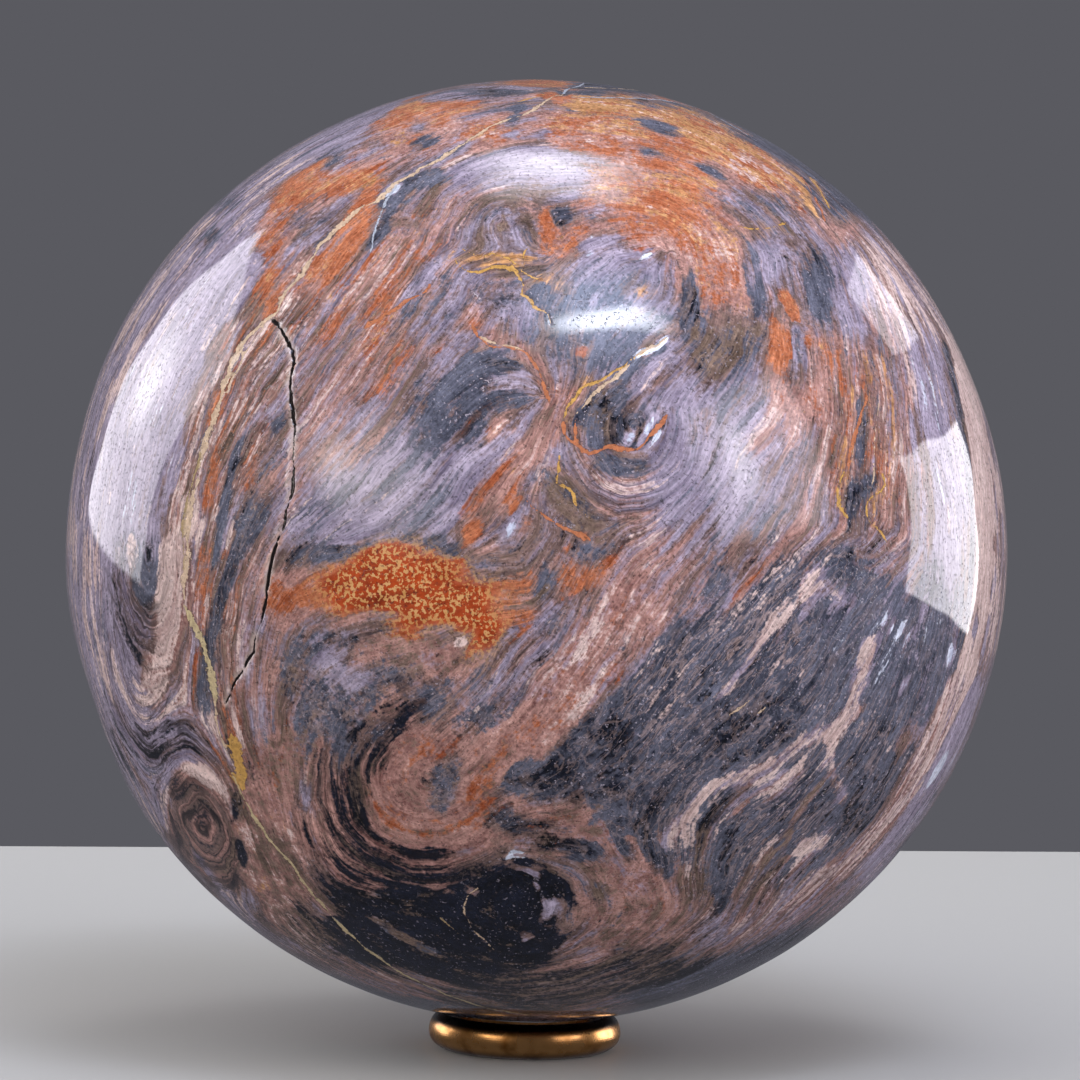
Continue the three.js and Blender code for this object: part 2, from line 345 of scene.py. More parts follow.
# Lines that the fibres follow. Only their run counts, not which way they are drawn.
flowLines = {
    "leftOutline": [(540, 84), (440, 90), (360, 120), (280, 162), (210, 217), (150, 287), (108, 365),
        (82, 450), (72, 540), (76, 620), (96, 700), (128, 775), (172, 848), (228, 910), (290, 958),
        (360, 998), (430, 1015), (540, 1020)],
    "leftInner": [(520, 102), (440, 118), (370, 145), (310, 175), (262, 212), (215, 262), (165, 330),
        (130, 400), (110, 470), (100, 540), (101, 600), (109, 660), (124, 705), (145, 742)],
    "alongVein": [(540, 112), (480, 130), (430, 158), (392, 186), (350, 216), (305, 268), (280, 300),
        (255, 330), (230, 367), (218, 405), (204, 450), (193, 500), (187, 560), (184, 605), (203, 645),
        (216, 700), (228, 750), (243, 795), (262, 830), (290, 862), (312, 893), (341, 926), (377, 957),
        (440, 992), (510, 1012)],
    "insideLeft": [(345, 210), (300, 242), (270, 278), (248, 320), (215, 385), (190, 440), (172, 510),
        (165, 560)],
    "streakA": [(440, 195), (415, 240), (385, 285), (345, 340), (310, 390), (270, 440), (240, 480),
        (222, 530), (207, 590), (200, 650), (205, 700), (217, 745)],
    "streakB": [(468, 205), (443, 258), (408, 318), (375, 368), (335, 420), (300, 470), (268, 520),
        (246, 570), (233, 620), (226, 680), (236, 740), (256, 800), (280, 850)],
    "streakC": [(485, 290), (455, 340), (422, 388), (392, 428), (355, 475), (318, 520), (285, 570),
        (262, 630), (262, 700), (275, 770)],
    "hookInner": [(136, 560), (130, 600), (136, 628), (147, 636), (157, 622), (164, 590), (170, 556)],
    "hookOuter": [(120, 570), (114, 620), (120, 668), (134, 700), (150, 704), (164, 680), (174, 640),
        (180, 600)],
    "hookLow": [(105, 620), (114, 680), (130, 722), (146, 735), (162, 715), (178, 690), (190, 660)],
    "waveCrest": [(122, 735), (136, 756), (150, 768), (164, 752), (182, 738), (202, 750), (222, 772),
        (234, 805), (240, 850), (250, 890)],
    "waveCrestOuter": [(150, 735), (166, 728), (184, 722), (204, 735), (222, 758)],
    "swirlOuter": [(165, 830), (170, 790), (182, 762), (200, 764), (220, 785), (232, 825), (230, 862),
        (215, 882)],
    "swirlMiddle": [(196, 850), (184, 820), (183, 796), (194, 786), (206, 800), (222, 824), (226, 850),
        (220, 868), (206, 864), (196, 850)],
    "swirlInner": [(206, 845), (196, 820), (194, 804), (204, 806), (214, 826), (218, 848), (213, 857),
        (206, 845)],
    "underSwirl": [(142, 790), (170, 838), (205, 885), (250, 928), (300, 965), (360, 992)],
    "centreStreakA": [(560, 395), (546, 425), (525, 452), (495, 478), (472, 505), (455, 535)],
    "centreStreakB": [(500, 420), (465, 455), (430, 495), (385, 535), (330, 552)],
    "centreStreakC": [(440, 430), (400, 470), (350, 505), (300, 530)],
    "darkCentre": [(530, 385), (500, 380), (465, 385), (440, 400), (425, 430)],
    "blueArc": [(682, 255), (692, 290), (682, 325), (664, 342), (634, 362), (604, 388), (578, 412)],
    "blueTop": [(640, 235), (600, 240), (560, 262), (545, 300), (548, 350), (556, 390)],
    "hubArc": [(545, 262), (520, 262), (490, 262), (455, 262), (440, 285), (415, 300)],
    "oliveSwirlOuter": [(538, 250), (524, 212), (500, 200), (478, 214), (470, 246)],
    "oliveSwirlInner": [(520, 246), (508, 220), (494, 222), (488, 246)],
    "bowlOuter": [(700, 430), (688, 470), (660, 505), (620, 520), (585, 505), (562, 478)],
    "bowlMiddle": [(675, 430), (662, 470), (635, 492), (605, 490), (580, 470), (570, 445)],
    "bowlInner": [(655, 425), (645, 455), (620, 465), (595, 455), (585, 430)],
    "throughBreccia": [(540, 610), (480, 590), (400, 582), (330, 585), (285, 600), (262, 650)],
    "pinkTongue": [(800, 380), (760, 430), (715, 490), (672, 545), (640, 590), (600, 650), (560, 705),
        (510, 760), (470, 805), (440, 850)],
    "pinkTongueLeft": [(620, 520), (590, 570), (566, 622), (535, 670), (500, 715), (455, 765), (415, 800)],
    "leftOfTongue": [(545, 590), (520, 640), (490, 690), (450, 735), (410, 765)],
    "diagonalA": [(820, 440), (790, 510), (750, 565), (700, 625), (655, 690), (610, 745), (565, 790),
        (520, 800)],
    "diagonalB": [(850, 560), (800, 615), (760, 665), (710, 715), (660, 765), (630, 800), (622, 850)],
    "diagonalC": [(890, 600), (860, 660), (830, 715), (790, 765), (740, 800), (705, 840), (695, 900)],
    "diagonalD": [(905, 690), (880, 745), (845, 790), (805, 830), (770, 870), (755, 915)],
    "rightInner": [(930, 440), (950, 520), (950, 600), (935, 680), (905, 760), (865, 825), (815, 880),
        (765, 925)],
    "rightOutline": [(700, 108), (780, 152), (850, 208), (905, 268), (950, 335), (982, 410), (997, 500),
        (998, 580), (982, 670), (950, 750), (905, 822), (850, 882), (780, 940), (700, 982), (610, 1008)],
    "upperRightArc": [(830, 235), (780, 180), (715, 140), (640, 118), (560, 112)],
    "upperRightInner": [(790, 250), (745, 205), (690, 175), (630, 165), (560, 160), (500, 165), (450, 185)],
    "salmonGrain": [(715, 330), (712, 280), (700, 235), (665, 205), (610, 195), (560, 205)],
    "rustGrain": [(775, 400), (780, 350), (778, 300), (770, 260)],
    "slateGrain": [(835, 400), (825, 340), (808, 290), (800, 255)],
    "strands": [(862, 530), (862, 480), (866, 430), (868, 380), (862, 330), (850, 280)],
    "strandsLeft": [(822, 520), (820, 470), (822, 420), (815, 380)],
    "pinkRight": [(905, 520), (912, 440), (905, 370), (890, 310), (868, 260)],
    "oliveRight": [(760, 320), (735, 350), (710, 385)],
    "horizonWaves": [(905, 548), (870, 556), (835, 552), (812, 570)],
    "mottledDark": [(410, 640), (350, 655), (305, 690), (290, 740), (292, 800), (300, 850)],
    "navyBandTop": [(450, 680), (420, 702), (380, 722), (340, 745), (312, 780), (303, 830), (312, 875),
        (345, 898), (400, 905)],
    "navyBandLow": [(440, 705), (400, 742), (358, 772), (332, 800), (328, 832), (345, 858), (380, 874),
        (440, 878)],
    "horseshoe": [(452, 700), (415, 735), (382, 768), (362, 800), (366, 830), (398, 846), (440, 850),
        (490, 845)],
    "horseshoeInner": [(450, 730), (420, 760), (396, 790), (394, 812), (416, 822), (470, 825)],
    "blackBowl": [(320, 895), (350, 922), (400, 950), (460, 968), (520, 975), (580, 968), (635, 948),
        (672, 915), (690, 868), (700, 830)],
    "blackBowlLow": [(400, 975), (470, 992), (540, 995), (610, 980), (670, 950), (720, 915)],
    "ballOuter": [(492, 862), (470, 890), (470, 920), (492, 945), (530, 950), (560, 925), (565, 895),
        (545, 868), (515, 855), (492, 862)],
    "brownRight": [(520, 845), (560, 838), (600, 845), (640, 870), (665, 900)],
    "oliveFoldLeft": [(790, 845), (765, 862), (745, 895), (742, 925)],
}

# What each kind of rock is made of: how much of each mineral shows, and its gold flecks, grain and growth
# lines, which are dark above 0 and pale below it
minerals = [
    "pink", "lilac", "slate", "ink", "olive", "rust", "gold", "cream", "ice", "fleck", "grain", "line"]
rocks = {
    "dust": dict(pink=0.55, lilac=0.55, olive=0.42, slate=0.4, ink=0.28, cream=0.3, grain=0.15, line=0.35),
    "pinkFibre": dict(pink=0.75, lilac=0.5, olive=0.42, slate=0.36, ink=0.24, cream=0.35, line=0.3),
    "rustStreak": dict(pink=0.66, rust=0.52, gold=0.38, olive=0.48, lilac=0.48, slate=0.34, ink=0.3,
        cream=0.33, grain=0.2, line=0.35),
    "brownStreak": dict(pink=0.66, rust=0.48, olive=0.5, lilac=0.42, slate=0.4, ink=0.36, cream=0.5,
        line=0.45),
    "lilacSilk": dict(lilac=0.9, slate=0.5, pink=0.3, ink=0.25, cream=0.25),
    "paleLilac": dict(lilac=0.9, slate=0.3, cream=0.3, ice=0.3),
    "limbStripes": dict(lilac=0.85, slate=0.4, ink=0.28, cream=0.52, pink=0.42, line=0.55),
    "purple": dict(slate=0.85, lilac=0.5, ink=0.45, line=0.3),
    "mauve": dict(lilac=0.65, slate=0.5, pink=0.45, ink=0.35, olive=0.3, grain=0.4, line=0.3),
    "darkBrown": dict(olive=0.75, ink=0.55, rust=0.4),
    "salmon": dict(pink=0.95, rust=0.62, gold=0.42, lilac=0.3, cream=0.3, slate=0.28, grain=0.9, line=0.1),
    "tanSpeckle": dict(pink=0.95, rust=0.56, gold=0.5, cream=0.32, slate=0.3, grain=1, line=0.1),
    "orange": dict(rust=0.8, gold=0.5, pink=0.7, lilac=0.3, slate=0.28, grain=0.7, line=0.15),
    "goldenOrange": dict(rust=0.65, gold=0.66, pink=0.6, cream=0.4, slate=0.34, ink=0.26, grain=0.9),
    "rust": dict(rust=0.85, pink=0.6, olive=0.35, ink=0.3, slate=0.3, grain=0.5),
    "rustBrown": dict(rust=0.66, olive=0.5, slate=0.34, lilac=0.36, ink=0.32, pink=0.6, grain=0.4,
        line=0.35),
    "breccia": dict(rust=1.15, fleck=1, grain=0.8),
    "brecciaPale": dict(pink=1.1, rust=0.6, grain=0.7),
    "slate": dict(slate=0.9, lilac=0.5, ink=0.3, grain=0.5),
    "blueGrey": dict(lilac=0.7, slate=0.7, ice=0.3, grain=0.3),
    "darkSlate": dict(slate=0.95, ink=0.5, olive=0.35, lilac=0.35, grain=0.4, line=-0.2),
    "darkOlive": dict(slate=0.6, olive=0.65, ink=0.5, lilac=0.3, grain=0.3),
    "navy": dict(slate=1, ink=0.6, lilac=0.34, grain=0.7, line=-0.25),
    "navyBlue": dict(slate=1, ink=0.45, lilac=0.35, grain=0.5, line=-0.25),
    "navyStreaked": dict(slate=1, ink=0.45, pink=0.44, lilac=0.5, cream=0.38, grain=0.4, line=-0.45),
    "black": dict(ink=1.1, slate=0.6, olive=0.34, grain=0.9),
    "oliveGrey": dict(olive=0.58, lilac=0.55, slate=0.45, pink=0.4, ink=0.3, grain=0.3, line=0.4),
    "oliveFold": dict(olive=0.6, ink=0.46, pink=0.52, slate=0.45, lilac=0.46, cream=0.44, grain=0.2,
        line=0.6),
    "oliveBrown": dict(olive=0.56, pink=0.78, ink=0.26, cream=0.42, gold=0.3, grain=0.9),
    "strandTan": dict(pink=0.75, olive=0.42, slate=0.42, lilac=0.4, ink=0.28, gold=0.5, cream=0.42,
        rust=0.45, line=0.4),
    "tan": dict(pink=0.8, cream=0.85, lilac=0.36, olive=0.25, line=0.3),
    "tanBrown": dict(pink=0.95, rust=0.5, olive=0.4, cream=0.3, ink=0.2, grain=0.8),
    "tanRust": dict(pink=0.78, rust=0.42, gold=0.36, cream=0.36, olive=0.42, lilac=0.38, ink=0.25, line=0.3),
    "pinkTongue": dict(pink=1, rust=0.46, lilac=0.42, cream=0.48, grain=0.55),
    "greyPink": dict(lilac=0.7, pink=0.55, slate=0.45, cream=0.36, ink=0.3, line=0.4),
    "brownPink": dict(pink=0.85, olive=0.5, rust=0.35, slate=0.35, ink=0.3, lilac=0.35, grain=0.9),
    "mauveBrown": dict(lilac=0.55, pink=0.68, slate=0.3, cream=0.62, line=0.3),
    "mottled": dict(slate=0.75, ink=0.5, olive=0.4, lilac=0.5, pink=0.4, grain=1, line=-0.25),
    "rosePale": dict(lilac=0.6, pink=0.5, cream=0.6),
    "creamBand": dict(cream=1, pink=0.62, lilac=0.35, line=0.3),
    "pinkLace": dict(lilac=0.8, pink=0.7, cream=0.72, slate=0.3, grain=0.25, line=0.3),
    "bowl": dict(pink=0.66, olive=0.46, lilac=0.55, slate=0.36, ink=0.26, cream=0.46, line=0.7),
    "hooks": dict(lilac=0.8, slate=0.55, ink=0.42, pink=0.36, cream=0.42, line=1),
    "waves": dict(lilac=0.72, ink=0.48, pink=0.45, slate=0.4, cream=0.36, line=1),
    "swirl": dict(pink=0.6, ink=0.55, olive=0.5, line=1),
    "horseshoe": dict(pink=0.85, ink=0.7, olive=0.4, line=0.8),
    "baseStreaks": dict(ink=0.85, olive=0.55, slate=0.55, pink=0.35, grain=0.2, line=-0.3),
    "goldBrown": dict(gold=0.6, olive=0.6, pink=0.45, lilac=0.4, slate=0.35, line=0.4),
    "gold": dict(gold=1.1),
    "ice": dict(ice=1.1, lilac=1),
    "paleSlate": dict(slate=0.85, lilac=0.85, ice=0.26, grain=0.5, line=-0.15),
}

# Areas of rock as seen from the front, laid down in this order: (rock, its patches and bands)
areas = {
    "ground": [
        ("rustStreak", (395, 300, 75, 125, 35)), ("mauve", (455, 300, 40, 60, 30)), ("brownStreak", (42,
        [(330, 215), (268, 310), (225, 400), (207, 500), (207, 600), (225, 700), (255, 800)])),
        ("limbStripes", (30, [(400, 108), (300, 160), (222, 226), (163, 296), (122, 375), (98, 460),
        (90, 540), (96, 630), (114, 700), (140, 770), (185, 850), (240, 905)])),
        # pale lilac rock, partly painted highlight under the left lamp's reflection
        ("paleLilac", (34, [(240, 255), (190, 330), (155, 400), (135, 470), (128, 530)])),
        # lilac rock with painted sheen, where the front left lamps' glow falls on the polish
        ("lilacSilk", (425, 485, 110, 58, -28), (330, 520, 45, 32, -20)),
        ("pinkFibre", (330, 430, 48, 50, 30))],
    "top": [
        ("purple", (14, [(560, 84), (620, 92), (700, 106), (780, 152), (850, 208), (890, 252)])),
        ("salmon", (655, 185, 105, 70, 22)),
        ("goldenOrange", (17, [(575, 112), (640, 116), (700, 132), (755, 163), (795, 205)])),
        # the pale lilac patch on the next line is painted highlight, under the top lamp's reflection
        ("orange", (690, 185, 28, 34, 20)), ("paleLilac", (535, 168, 58, 20, 4))],
    "upperLeft": [
        ("salmon", (490, 132, 34, 16, -22)), ("lilacSilk", (350, 132, 56, 13, -27)),
        ("salmon", (410, 130, 46, 22, -16)), ("orange", (438, 108, 46, 10, -6)),
        ("blueGrey", (418, 127, 6, 5, 0)), ("slate", (425, 142, 10, 6, -10), (330, 160, 14, 6, -22)),
        ("orange", (298, 188, 32, 15, -42), (350, 186, 40, 20, -16)), ("salmon", (272, 236, 22, 18, -35)),
        ("mauve", (316, 226, 32, 21, -40)), ("orange", (268, 288, 13, 25, 15)),
        ("darkBrown", (254, 308, 8, 22, 25)), ("blueGrey", (228, 202, 15, 9, -40)),
        ("slate", (211, 236, 11, 7, -30)), ("rust", (353, 232, 16, 28, 35)),
        ("orange", (322, 272, 24, 12, -52)),
        ("darkSlate", (5, [(399, 196), (388, 214), (379, 232), (375, 242)])),
        ("slate", (390, 203, 11, 9, -30)), ("ice", (392, 189, 10, 5, -35)),
        ("darkSlate", (425, 180, 25, 7, -10)), ("paleLilac", (462, 170, 20, 11, -20))],
    "crown": [
        ("mauve", (480, 93, 46, 7, -4)), ("darkSlate", (500, 93, 28, 4, -2)),
        ("slate", (518, 108, 9, 4, -10)), ("orange", (536, 82, 36, 3, 0)), ("rust", (556, 97, 13, 7, 10)),
        ("slate", (514, 122, 6, 7, 0)), ("blueGrey", (545, 136, 5, 7, 0)), ("ice", (511, 135, 7, 3, -5)),
        ("salmon", (562, 126, 18, 13, 0)),
        ("slate", (660, 127, 19, 6, 22), (648, 152, 6, 4, 0), (712, 172, 13, 4, 35)),
        ("mauve", (757, 206, 36, 17, 8)), ("blueGrey", (781, 208, 5, 8, 0))],
    "upperRight": [
        ("tanSpeckle", (720, 272, 33, 56, 0)), ("gold", (1.6, [(797, 172), (806, 190), (812, 206),
        (818, 222)]), (1.4, [(812, 178), (822, 196), (832, 218)])),
        ("goldBrown", (2.5, [(720, 229), (745, 233), (765, 227), (792, 231)])),
        ("salmon", (858, 238, 24, 16, 42)), ("rosePale", (22, [(868, 250), (898, 302), (925, 372)])),
        ("lilacSilk", (765, 262, 18, 26, 10)), ("mauve", (792, 248, 26, 14, 20)),
        ("blueGrey", (760, 298, 8, 19, 0)), ("lilacSilk", (852, 300, 16, 52, -10)),
        ("slate", (816, 266, 24, 11, 38), (818, 300, 13, 26, -18)), ("orange", (790, 306, 7, 22, -28)),
        ("rust", (778, 350, 13, 32, 0)), ("blueGrey", (798, 344, 7, 20, -10)),
        ("orange", (823, 345, 20, 10, 28)), ("rust", (834, 372, 16, 13, 0))],
    "right": [
        # lilac rock with painted sheen, under the front right lamps' glow
        ("lilacSilk", (700, 400, 62, 50, 0)), ("darkOlive", (718, 346, 36, 26, -30)),
        ("darkSlate", (688, 305, 8, 30, 8)), ("strandTan", (865, 430, 38, 95, 0)),
        ("darkSlate", (861, 432, 5, 42, 0), (852, 498, 8, 18, 0), (868, 482, 8, 10, 0)),
        ("tanSpeckle", (795, 405, 25, 16, 0)),
        ("paleLilac", (15, [(922, 350), (936, 420), (950, 480), (948, 560)])),
        ("rosePale", (9, [(925, 290), (965, 360), (990, 430), (1003, 510), (1003, 580), (992, 650)])),
        ("creamBand", (10, [(958, 345), (972, 410), (981, 480), (985, 540), (981, 600), (968, 660),
        (950, 720), (925, 775)])), ("darkSlate", (3, [(946, 345), (962, 420), (970, 480), (973, 540),
        (969, 600), (957, 655), (941, 712)]))],
    "middle": [
        ("blueGrey", (605, 312, 56, 62, 0)), ("darkSlate", (570, 322, 22, 30, 0)),
        ("lilacSilk", (602, 262, 30, 20, 0)), ("oliveGrey", (503, 225, 33, 28, 0)),
        ("orange", (549, 216, 9, 11, 18)), ("salmon", (562, 236, 24, 20, 10)),
        ("orange", (560, 252, 24, 7, 5)), ("darkSlate", (564, 215, 12, 9, 0)),
        ("ice", (588, 240, 4, 5, 0), (590, 253, 4, 4, 0), (645, 256, 4, 4, 0)),
        ("paleLilac", (655, 270, 9, 8, 0)), ("goldBrown", (641, 290, 8, 12, 10)),
        ("mauve", (498, 302, 34, 25, 0)), ("goldBrown", (500, 260, 50, 12, 3), (552, 285, 22, 10, 15)),
        ("tanRust", (9, [(472, 318), (486, 332), (508, 342), (530, 356), (544, 380), (552, 404)])),
        ("goldBrown", (8, [(650, 346), (625, 362), (600, 378), (578, 396)])),
        ("gold", (3, [(614, 380), (596, 393), (579, 407), (569, 420)])), ("darkSlate", (539, 291, 11, 8, 0)),
        ("slate", (470, 402, 52, 44, -35)), ("darkSlate", (500, 363, 20, 5, 10)),
        ("blueGrey", (620, 362, 22, 13, -40)), ("rust", (583, 352, 8, 6, 0)),
        ("ice", (2.5, [(640, 353), (655, 348), (666, 337)])), ("tanRust", (14, [(575, 396), (552, 428),
        (522, 458), (492, 488), (468, 518)]), (495, 430, 8, 10, 0)), ("darkSlate", (608, 420, 38, 24, -8)),
        ("bowl", (632, 488, 52, 26, -5)), ("darkSlate", (618, 465, 26, 9, 3)),
        ("darkOlive", (572, 502, 22, 32, -35)), ("ice", (631, 438, 4, 5, 20), (639, 442, 3.5, 4, 0),
        (646, 431, 3, 4, 0), (651, 422, 4, 5, 20), (657, 435, 4.5, 6, 10), (651, 445, 3.5, 3.5, 0),
        (633, 457, 3, 2, 0))],
    "tongue": [
        ("rustBrown", (588, 572, 44, 28, -14)), ("navyBlue", (598, 551, 21, 5, 8)),
        ("darkSlate", (6, [(543, 572), (551, 602), (564, 620), (582, 620), (602, 605), (622, 592)])),
        ("pinkFibre", (30, [(760, 430), (705, 505), (668, 558), (640, 600)])),
        # the first lilac patch here is painted sheen, under the front right lamps' glow
        ("lilacSilk", (715, 470, 55, 60, 35), (618, 594, 14, 5, -20)),
        ("pinkTongue", (34, [(622, 630), (588, 675), (555, 718), (520, 762)])),
        ("greyPink", (24, [(548, 625), (512, 680), (482, 722)])), ("slate", (500, 730, 34, 11, -12))],
    "breccia": [
        ("mottled", (335, 690, 66, 62, 0)), ("brownPink", (420, 656, 46, 20, 0)),
        ("mottled", (405, 692, 36, 24, 0)),
        ("darkSlate", (6, [(292, 558), (345, 552), (400, 545), (450, 549), (476, 560)])),
        ("brecciaPale", (25, [(292, 596), (330, 590), (370, 586)])), ("breccia", (32, [(366, 586),
        (410, 586), (446, 594), (474, 606)]), (14, [(470, 610), (484, 628), (486, 640)])),
        ("rustBrown", (516, 595, 20, 36, 0)), ("rust", (470, 535, 8, 10, 0), (511, 504, 9, 9, 0)),
        ("ice", (513, 525, 7, 7, 0)), ("orange", (525, 522, 8, 6, 20)), ("ice", (444, 634, 4, 4, 0)),
        ("creamBand", (461, 643, 8, 9, 0)), ("paleLilac", (350, 678, 18, 11, 15), (326, 660, 14, 9, 0))],
    "left": [
        ("pinkFibre", (258, 695, 18, 75, -8)),
        ("darkSlate", (251, 516, 13, 30, 25), (6, [(240, 542), (224, 588), (210, 640), (205, 700)])),
        ("slate", (278, 424, 7, 13, 15)), ("rustBrown", (211, 482, 6, 32, 12)),
        ("rust", (214, 405, 5, 22, 15)), ("rustBrown", (204, 572, 7, 26, 8)),
        ("rust", (258, 484, 12, 13, 0)), ("rosePale", (197, 526, 8, 14, 0)),
        ("darkSlate", (3, [(238, 445), (224, 505), (216, 560)]))],
    "lowerLeft": [
        ("hooks", (140, 598, 28, 52, 0)), ("tan", (13, [(178, 540), (174, 600), (166, 650), (153, 688)])),
        ("darkSlate", (146, 576, 10, 22, 0)), ("waves", (162, 750, 48, 34, 20)),
        ("swirl", (204, 828, 30, 52, -20)), ("tan", (202, 776, 24, 11, 30)),
        ("black", (5, [(236, 800), (242, 840), (246, 880)])),
        ("oliveBrown", (25, [(262, 790), (266, 850), (282, 895)])), ("brownPink", (275, 770, 22, 38, 0))],
    "bottom": [
        ("navyBlue", (20, [(428, 712), (390, 745), (345, 765)])),
        ("horseshoe", (40, [(420, 752), (362, 792), (350, 830), (372, 862), (430, 870)])), ("tanBrown",
        (478, 770, 48, 66, 30), (20, [(420, 745), (390, 785), (392, 812), (440, 828), (490, 830)])),
        ("mottled", (444, 786, 15, 30, 18), (478, 722, 26, 16, -15)),
        ("black", (400, 932, 92, 36, 10), (445, 958, 82, 20, 8)), ("oliveFold", (310, 935, 18, 30, -30))],
    "lowerRight": [
        ("navyStreaked", (780, 740, 150, 135, -45), (700, 710, 95, 70, -45), (800, 630, 70, 70, 0)), ("navy",
        (24, [(612, 728), (568, 766), (528, 793)]), (640, 790, 42, 44, 20), (740, 735, 62, 34, -20)),
        ("paleSlate", (846, 640, 46, 56, 0)), ("navy", (862, 790, 42, 50, -30)),
        ("brownPink", (632, 895, 46, 50, 0), (570, 824, 62, 24, 5)),
        ("navy", (506, 820, 22, 11, 15), (580, 852, 18, 8, 5)),
        ("navyBlue", (5, [(605, 795), (613, 830), (627, 853)]), (8, [(640, 828), (662, 862)])),
        ("darkOlive", (600, 892, 8, 7, 0)), ("oliveFold", (702, 880, 22, 52, 0)),
        ("navy", (727, 862, 10, 45, 8)), ("oliveFold", (768, 872, 18, 38, 25)), ("pinkLace",
        (772, 782, 30, 13, -12), (5, [(692, 815), (700, 796), (722, 782), (753, 773), (783, 758), (806, 739),
        (829, 730)]), (8, [(868, 645), (860, 680), (850, 712), (829, 735)]), (5, [(836, 732), (829, 758),
        (836, 777), (844, 800)]), (5, [(666, 845), (676, 826), (692, 812)])),
        ("oliveGrey", (4, [(822, 780), (803, 806), (791, 828), (783, 856)])), ("pinkLace",
        (812, 846, 18, 9, -25), (828, 590, 28, 8, 30), (3, [(800, 618), (815, 600), (806, 582), (822, 574)]),
        (3, [(718, 700), (740, 672), (762, 640), (790, 612)])), ("navy", (735, 725, 45, 22, -30)),
        ("paleSlate", (925, 645, 34, 64, 12)), ("tanRust", (4, [(802, 518), (766, 560), (732, 600)])),
        ("mauveBrown", (12, [(961, 683), (927, 751), (902, 800), (867, 843), (829, 875), (783, 906),
        # the pale lilac band on the next line, along the lower right outline, is partly painted reflection
        (740, 930)])), ("paleLilac", (8, [(975, 690), (945, 760), (905, 825), (865, 880)])), ("ice",
        (938, 769, 3, 14, 30), (885, 620, 3, 3.5, 0), (891, 629, 2.5, 3, 0), (902, 628, 3, 4.5, 0),
        (906, 641, 2.5, 3, 0), (905, 686, 3, 4, 0), (897, 676, 2, 2.5, 0)),
        ("blueGrey", (890, 672, 12, 8, 0)), ("ice", (951, 654, 4, 8, 15))],
    "foot": [
        ("black", (516, 904, 46, 55, 0), (462, 924, 26, 26, 0)),
        ("darkOlive", (4, [(372, 918), (400, 936), (440, 955)])),
        ("ice", (508, 858, 4, 4, 0), (518, 853, 4, 5, 0)), ("paleLilac", (513, 866, 4, 4, 0),
        (530, 872, 7, 5, 20), (538, 884, 6, 4, 0), (550, 904, 9, 9, 0), (500, 880, 3, 3, 0),
        (545, 917, 5, 4, 0), (527, 935, 7, 4, 10)), ("baseStreaks", (570, 985, 150, 22, -8)), ("purple", (10,
        [(300, 974), (400, 1008), (470, 1020)]), (12, [(640, 1002), (720, 974), (800, 937)]))],
}

# The side that the photograph doesn't show: the same rocks, scattered, with fewer kinds
hidden = {
    "seed": 41,
    "patches": 90,
    "smallest": 5,  # half width in degrees
    "largest": 21,
    "flattest": 0.35, "roundest": 0.8,  # half height as a share of the half width
    "edge": (0.7, 1.3),  # where a patch starts to fade and where it is gone, as shares of its half width
    "front": (0.25, 0.75),  # the same for the front's drawing, in radians past the outline
    "stretch": 0.35,  # how much wider the front's drawing grows in each radian past the outline
    "rocks": [
        "pinkFibre", "brownStreak", "lilacSilk", "navyStreaked", "navy", "salmon", "mauve", "slate",
        "tanBrown", "limbStripes", "goldenOrange", "swirl", "brownPink", "oliveFold", "greyPink",
        "horseshoe"],
}
hiddenVeins = {
    # name: (kind, width in mm at the start and the end, points in degrees round from the front and up)
    "backVein": ("cream", 0.6, 0.5, [
        (35, 83), (140, 74), (165, 60), (172, 42), (160, 25), (166, 8), (180, -10), (176, -30), (190, -48),
        (215, -62)]),
    "backBranch": ("gold", 0.4, 0.3, [(160, 25), (145, 12), (128, 4), (116, -8), (108, -22)]),
    "backThread": ("cream", 0.3, 0.3, [(172, 42), (195, 38), (215, 27), (228, 12), (236, -6), (240, -24)]),
}
tints = {
    "cream": "#d2b79c", "gold": "#c99c55", "straw": "#cab78f", "rust": "#bb7450", "olive": "#a8926c",
    "ice": "#b4bbcb", "lilac": "#b9adb6"}

# How the edges of the areas and the lines of the veins wander, and how finely drawn lines are stepped
wobble = {"long": 9 * mm, "short": 2.6 * mm, "edge": 0.22, "shortShare": 0.6, "fullFrom": 25}
wander = {"length": 3.2 * mm, "reach": 0.0016}
areaEdge, chipEdge = (0.85, 1.25), (0.3, 1.2)
lineSteps = {"vein": 5, "band": 12, "fibre": 8, "hiddenVein": 1.5}  # pixels, and degrees on the hidden side
randomSeeds = {
    "veins": 100, "fissures": 700, "rim": 813, "hiddenEdges": 2000, "longWobble": 3000, "shortWobble": 3100}
veinValues = {
    "reach": 3 * mm, "groove": 0.035 * mm, "widthShare": 0.85, "leastWidth": 0.1,
    "taper": (0.06, 0.9),  # the shares of its length where a vein is full and where it thins again
    "swelling": ((5 * mm, 0.35, 801), (1.8 * mm, 0.2, 802)), "thinnest": 0.35, "thickest": 1.8}
fissureValues = {
    "depth": 0.5 * mm, "rim": 0.75 * mm, "rimFade": (0.5, 1.0), "rimPatches": 9 * mm, "rimBand": (-0.7, 0.4),
    "swelling": ((6 * mm, 0.5, 811), (1.5 * mm, 0.3, 812)), "thinnest": 0.45, "thickest": 1.5}


def smoothStep(low, high, value):
    t = np.clip((value - low) / (high - low), 0, 1)
    return t * t * (3 - 2 * t)


def randomWaves(points, length, seed, count=26):  # a smooth random height of about -1 to 1
    rng = np.random.default_rng(seed)
    turns = unit(rng.normal(size=(count, 3))) * (2 * math.pi / length * rng.uniform(0.6, 1.5, (count, 1)))
    waves = np.cos(points @ turns.T + rng.uniform(0, 2 * math.pi, count))
    return waves.sum(1) * math.sqrt(2 / count)


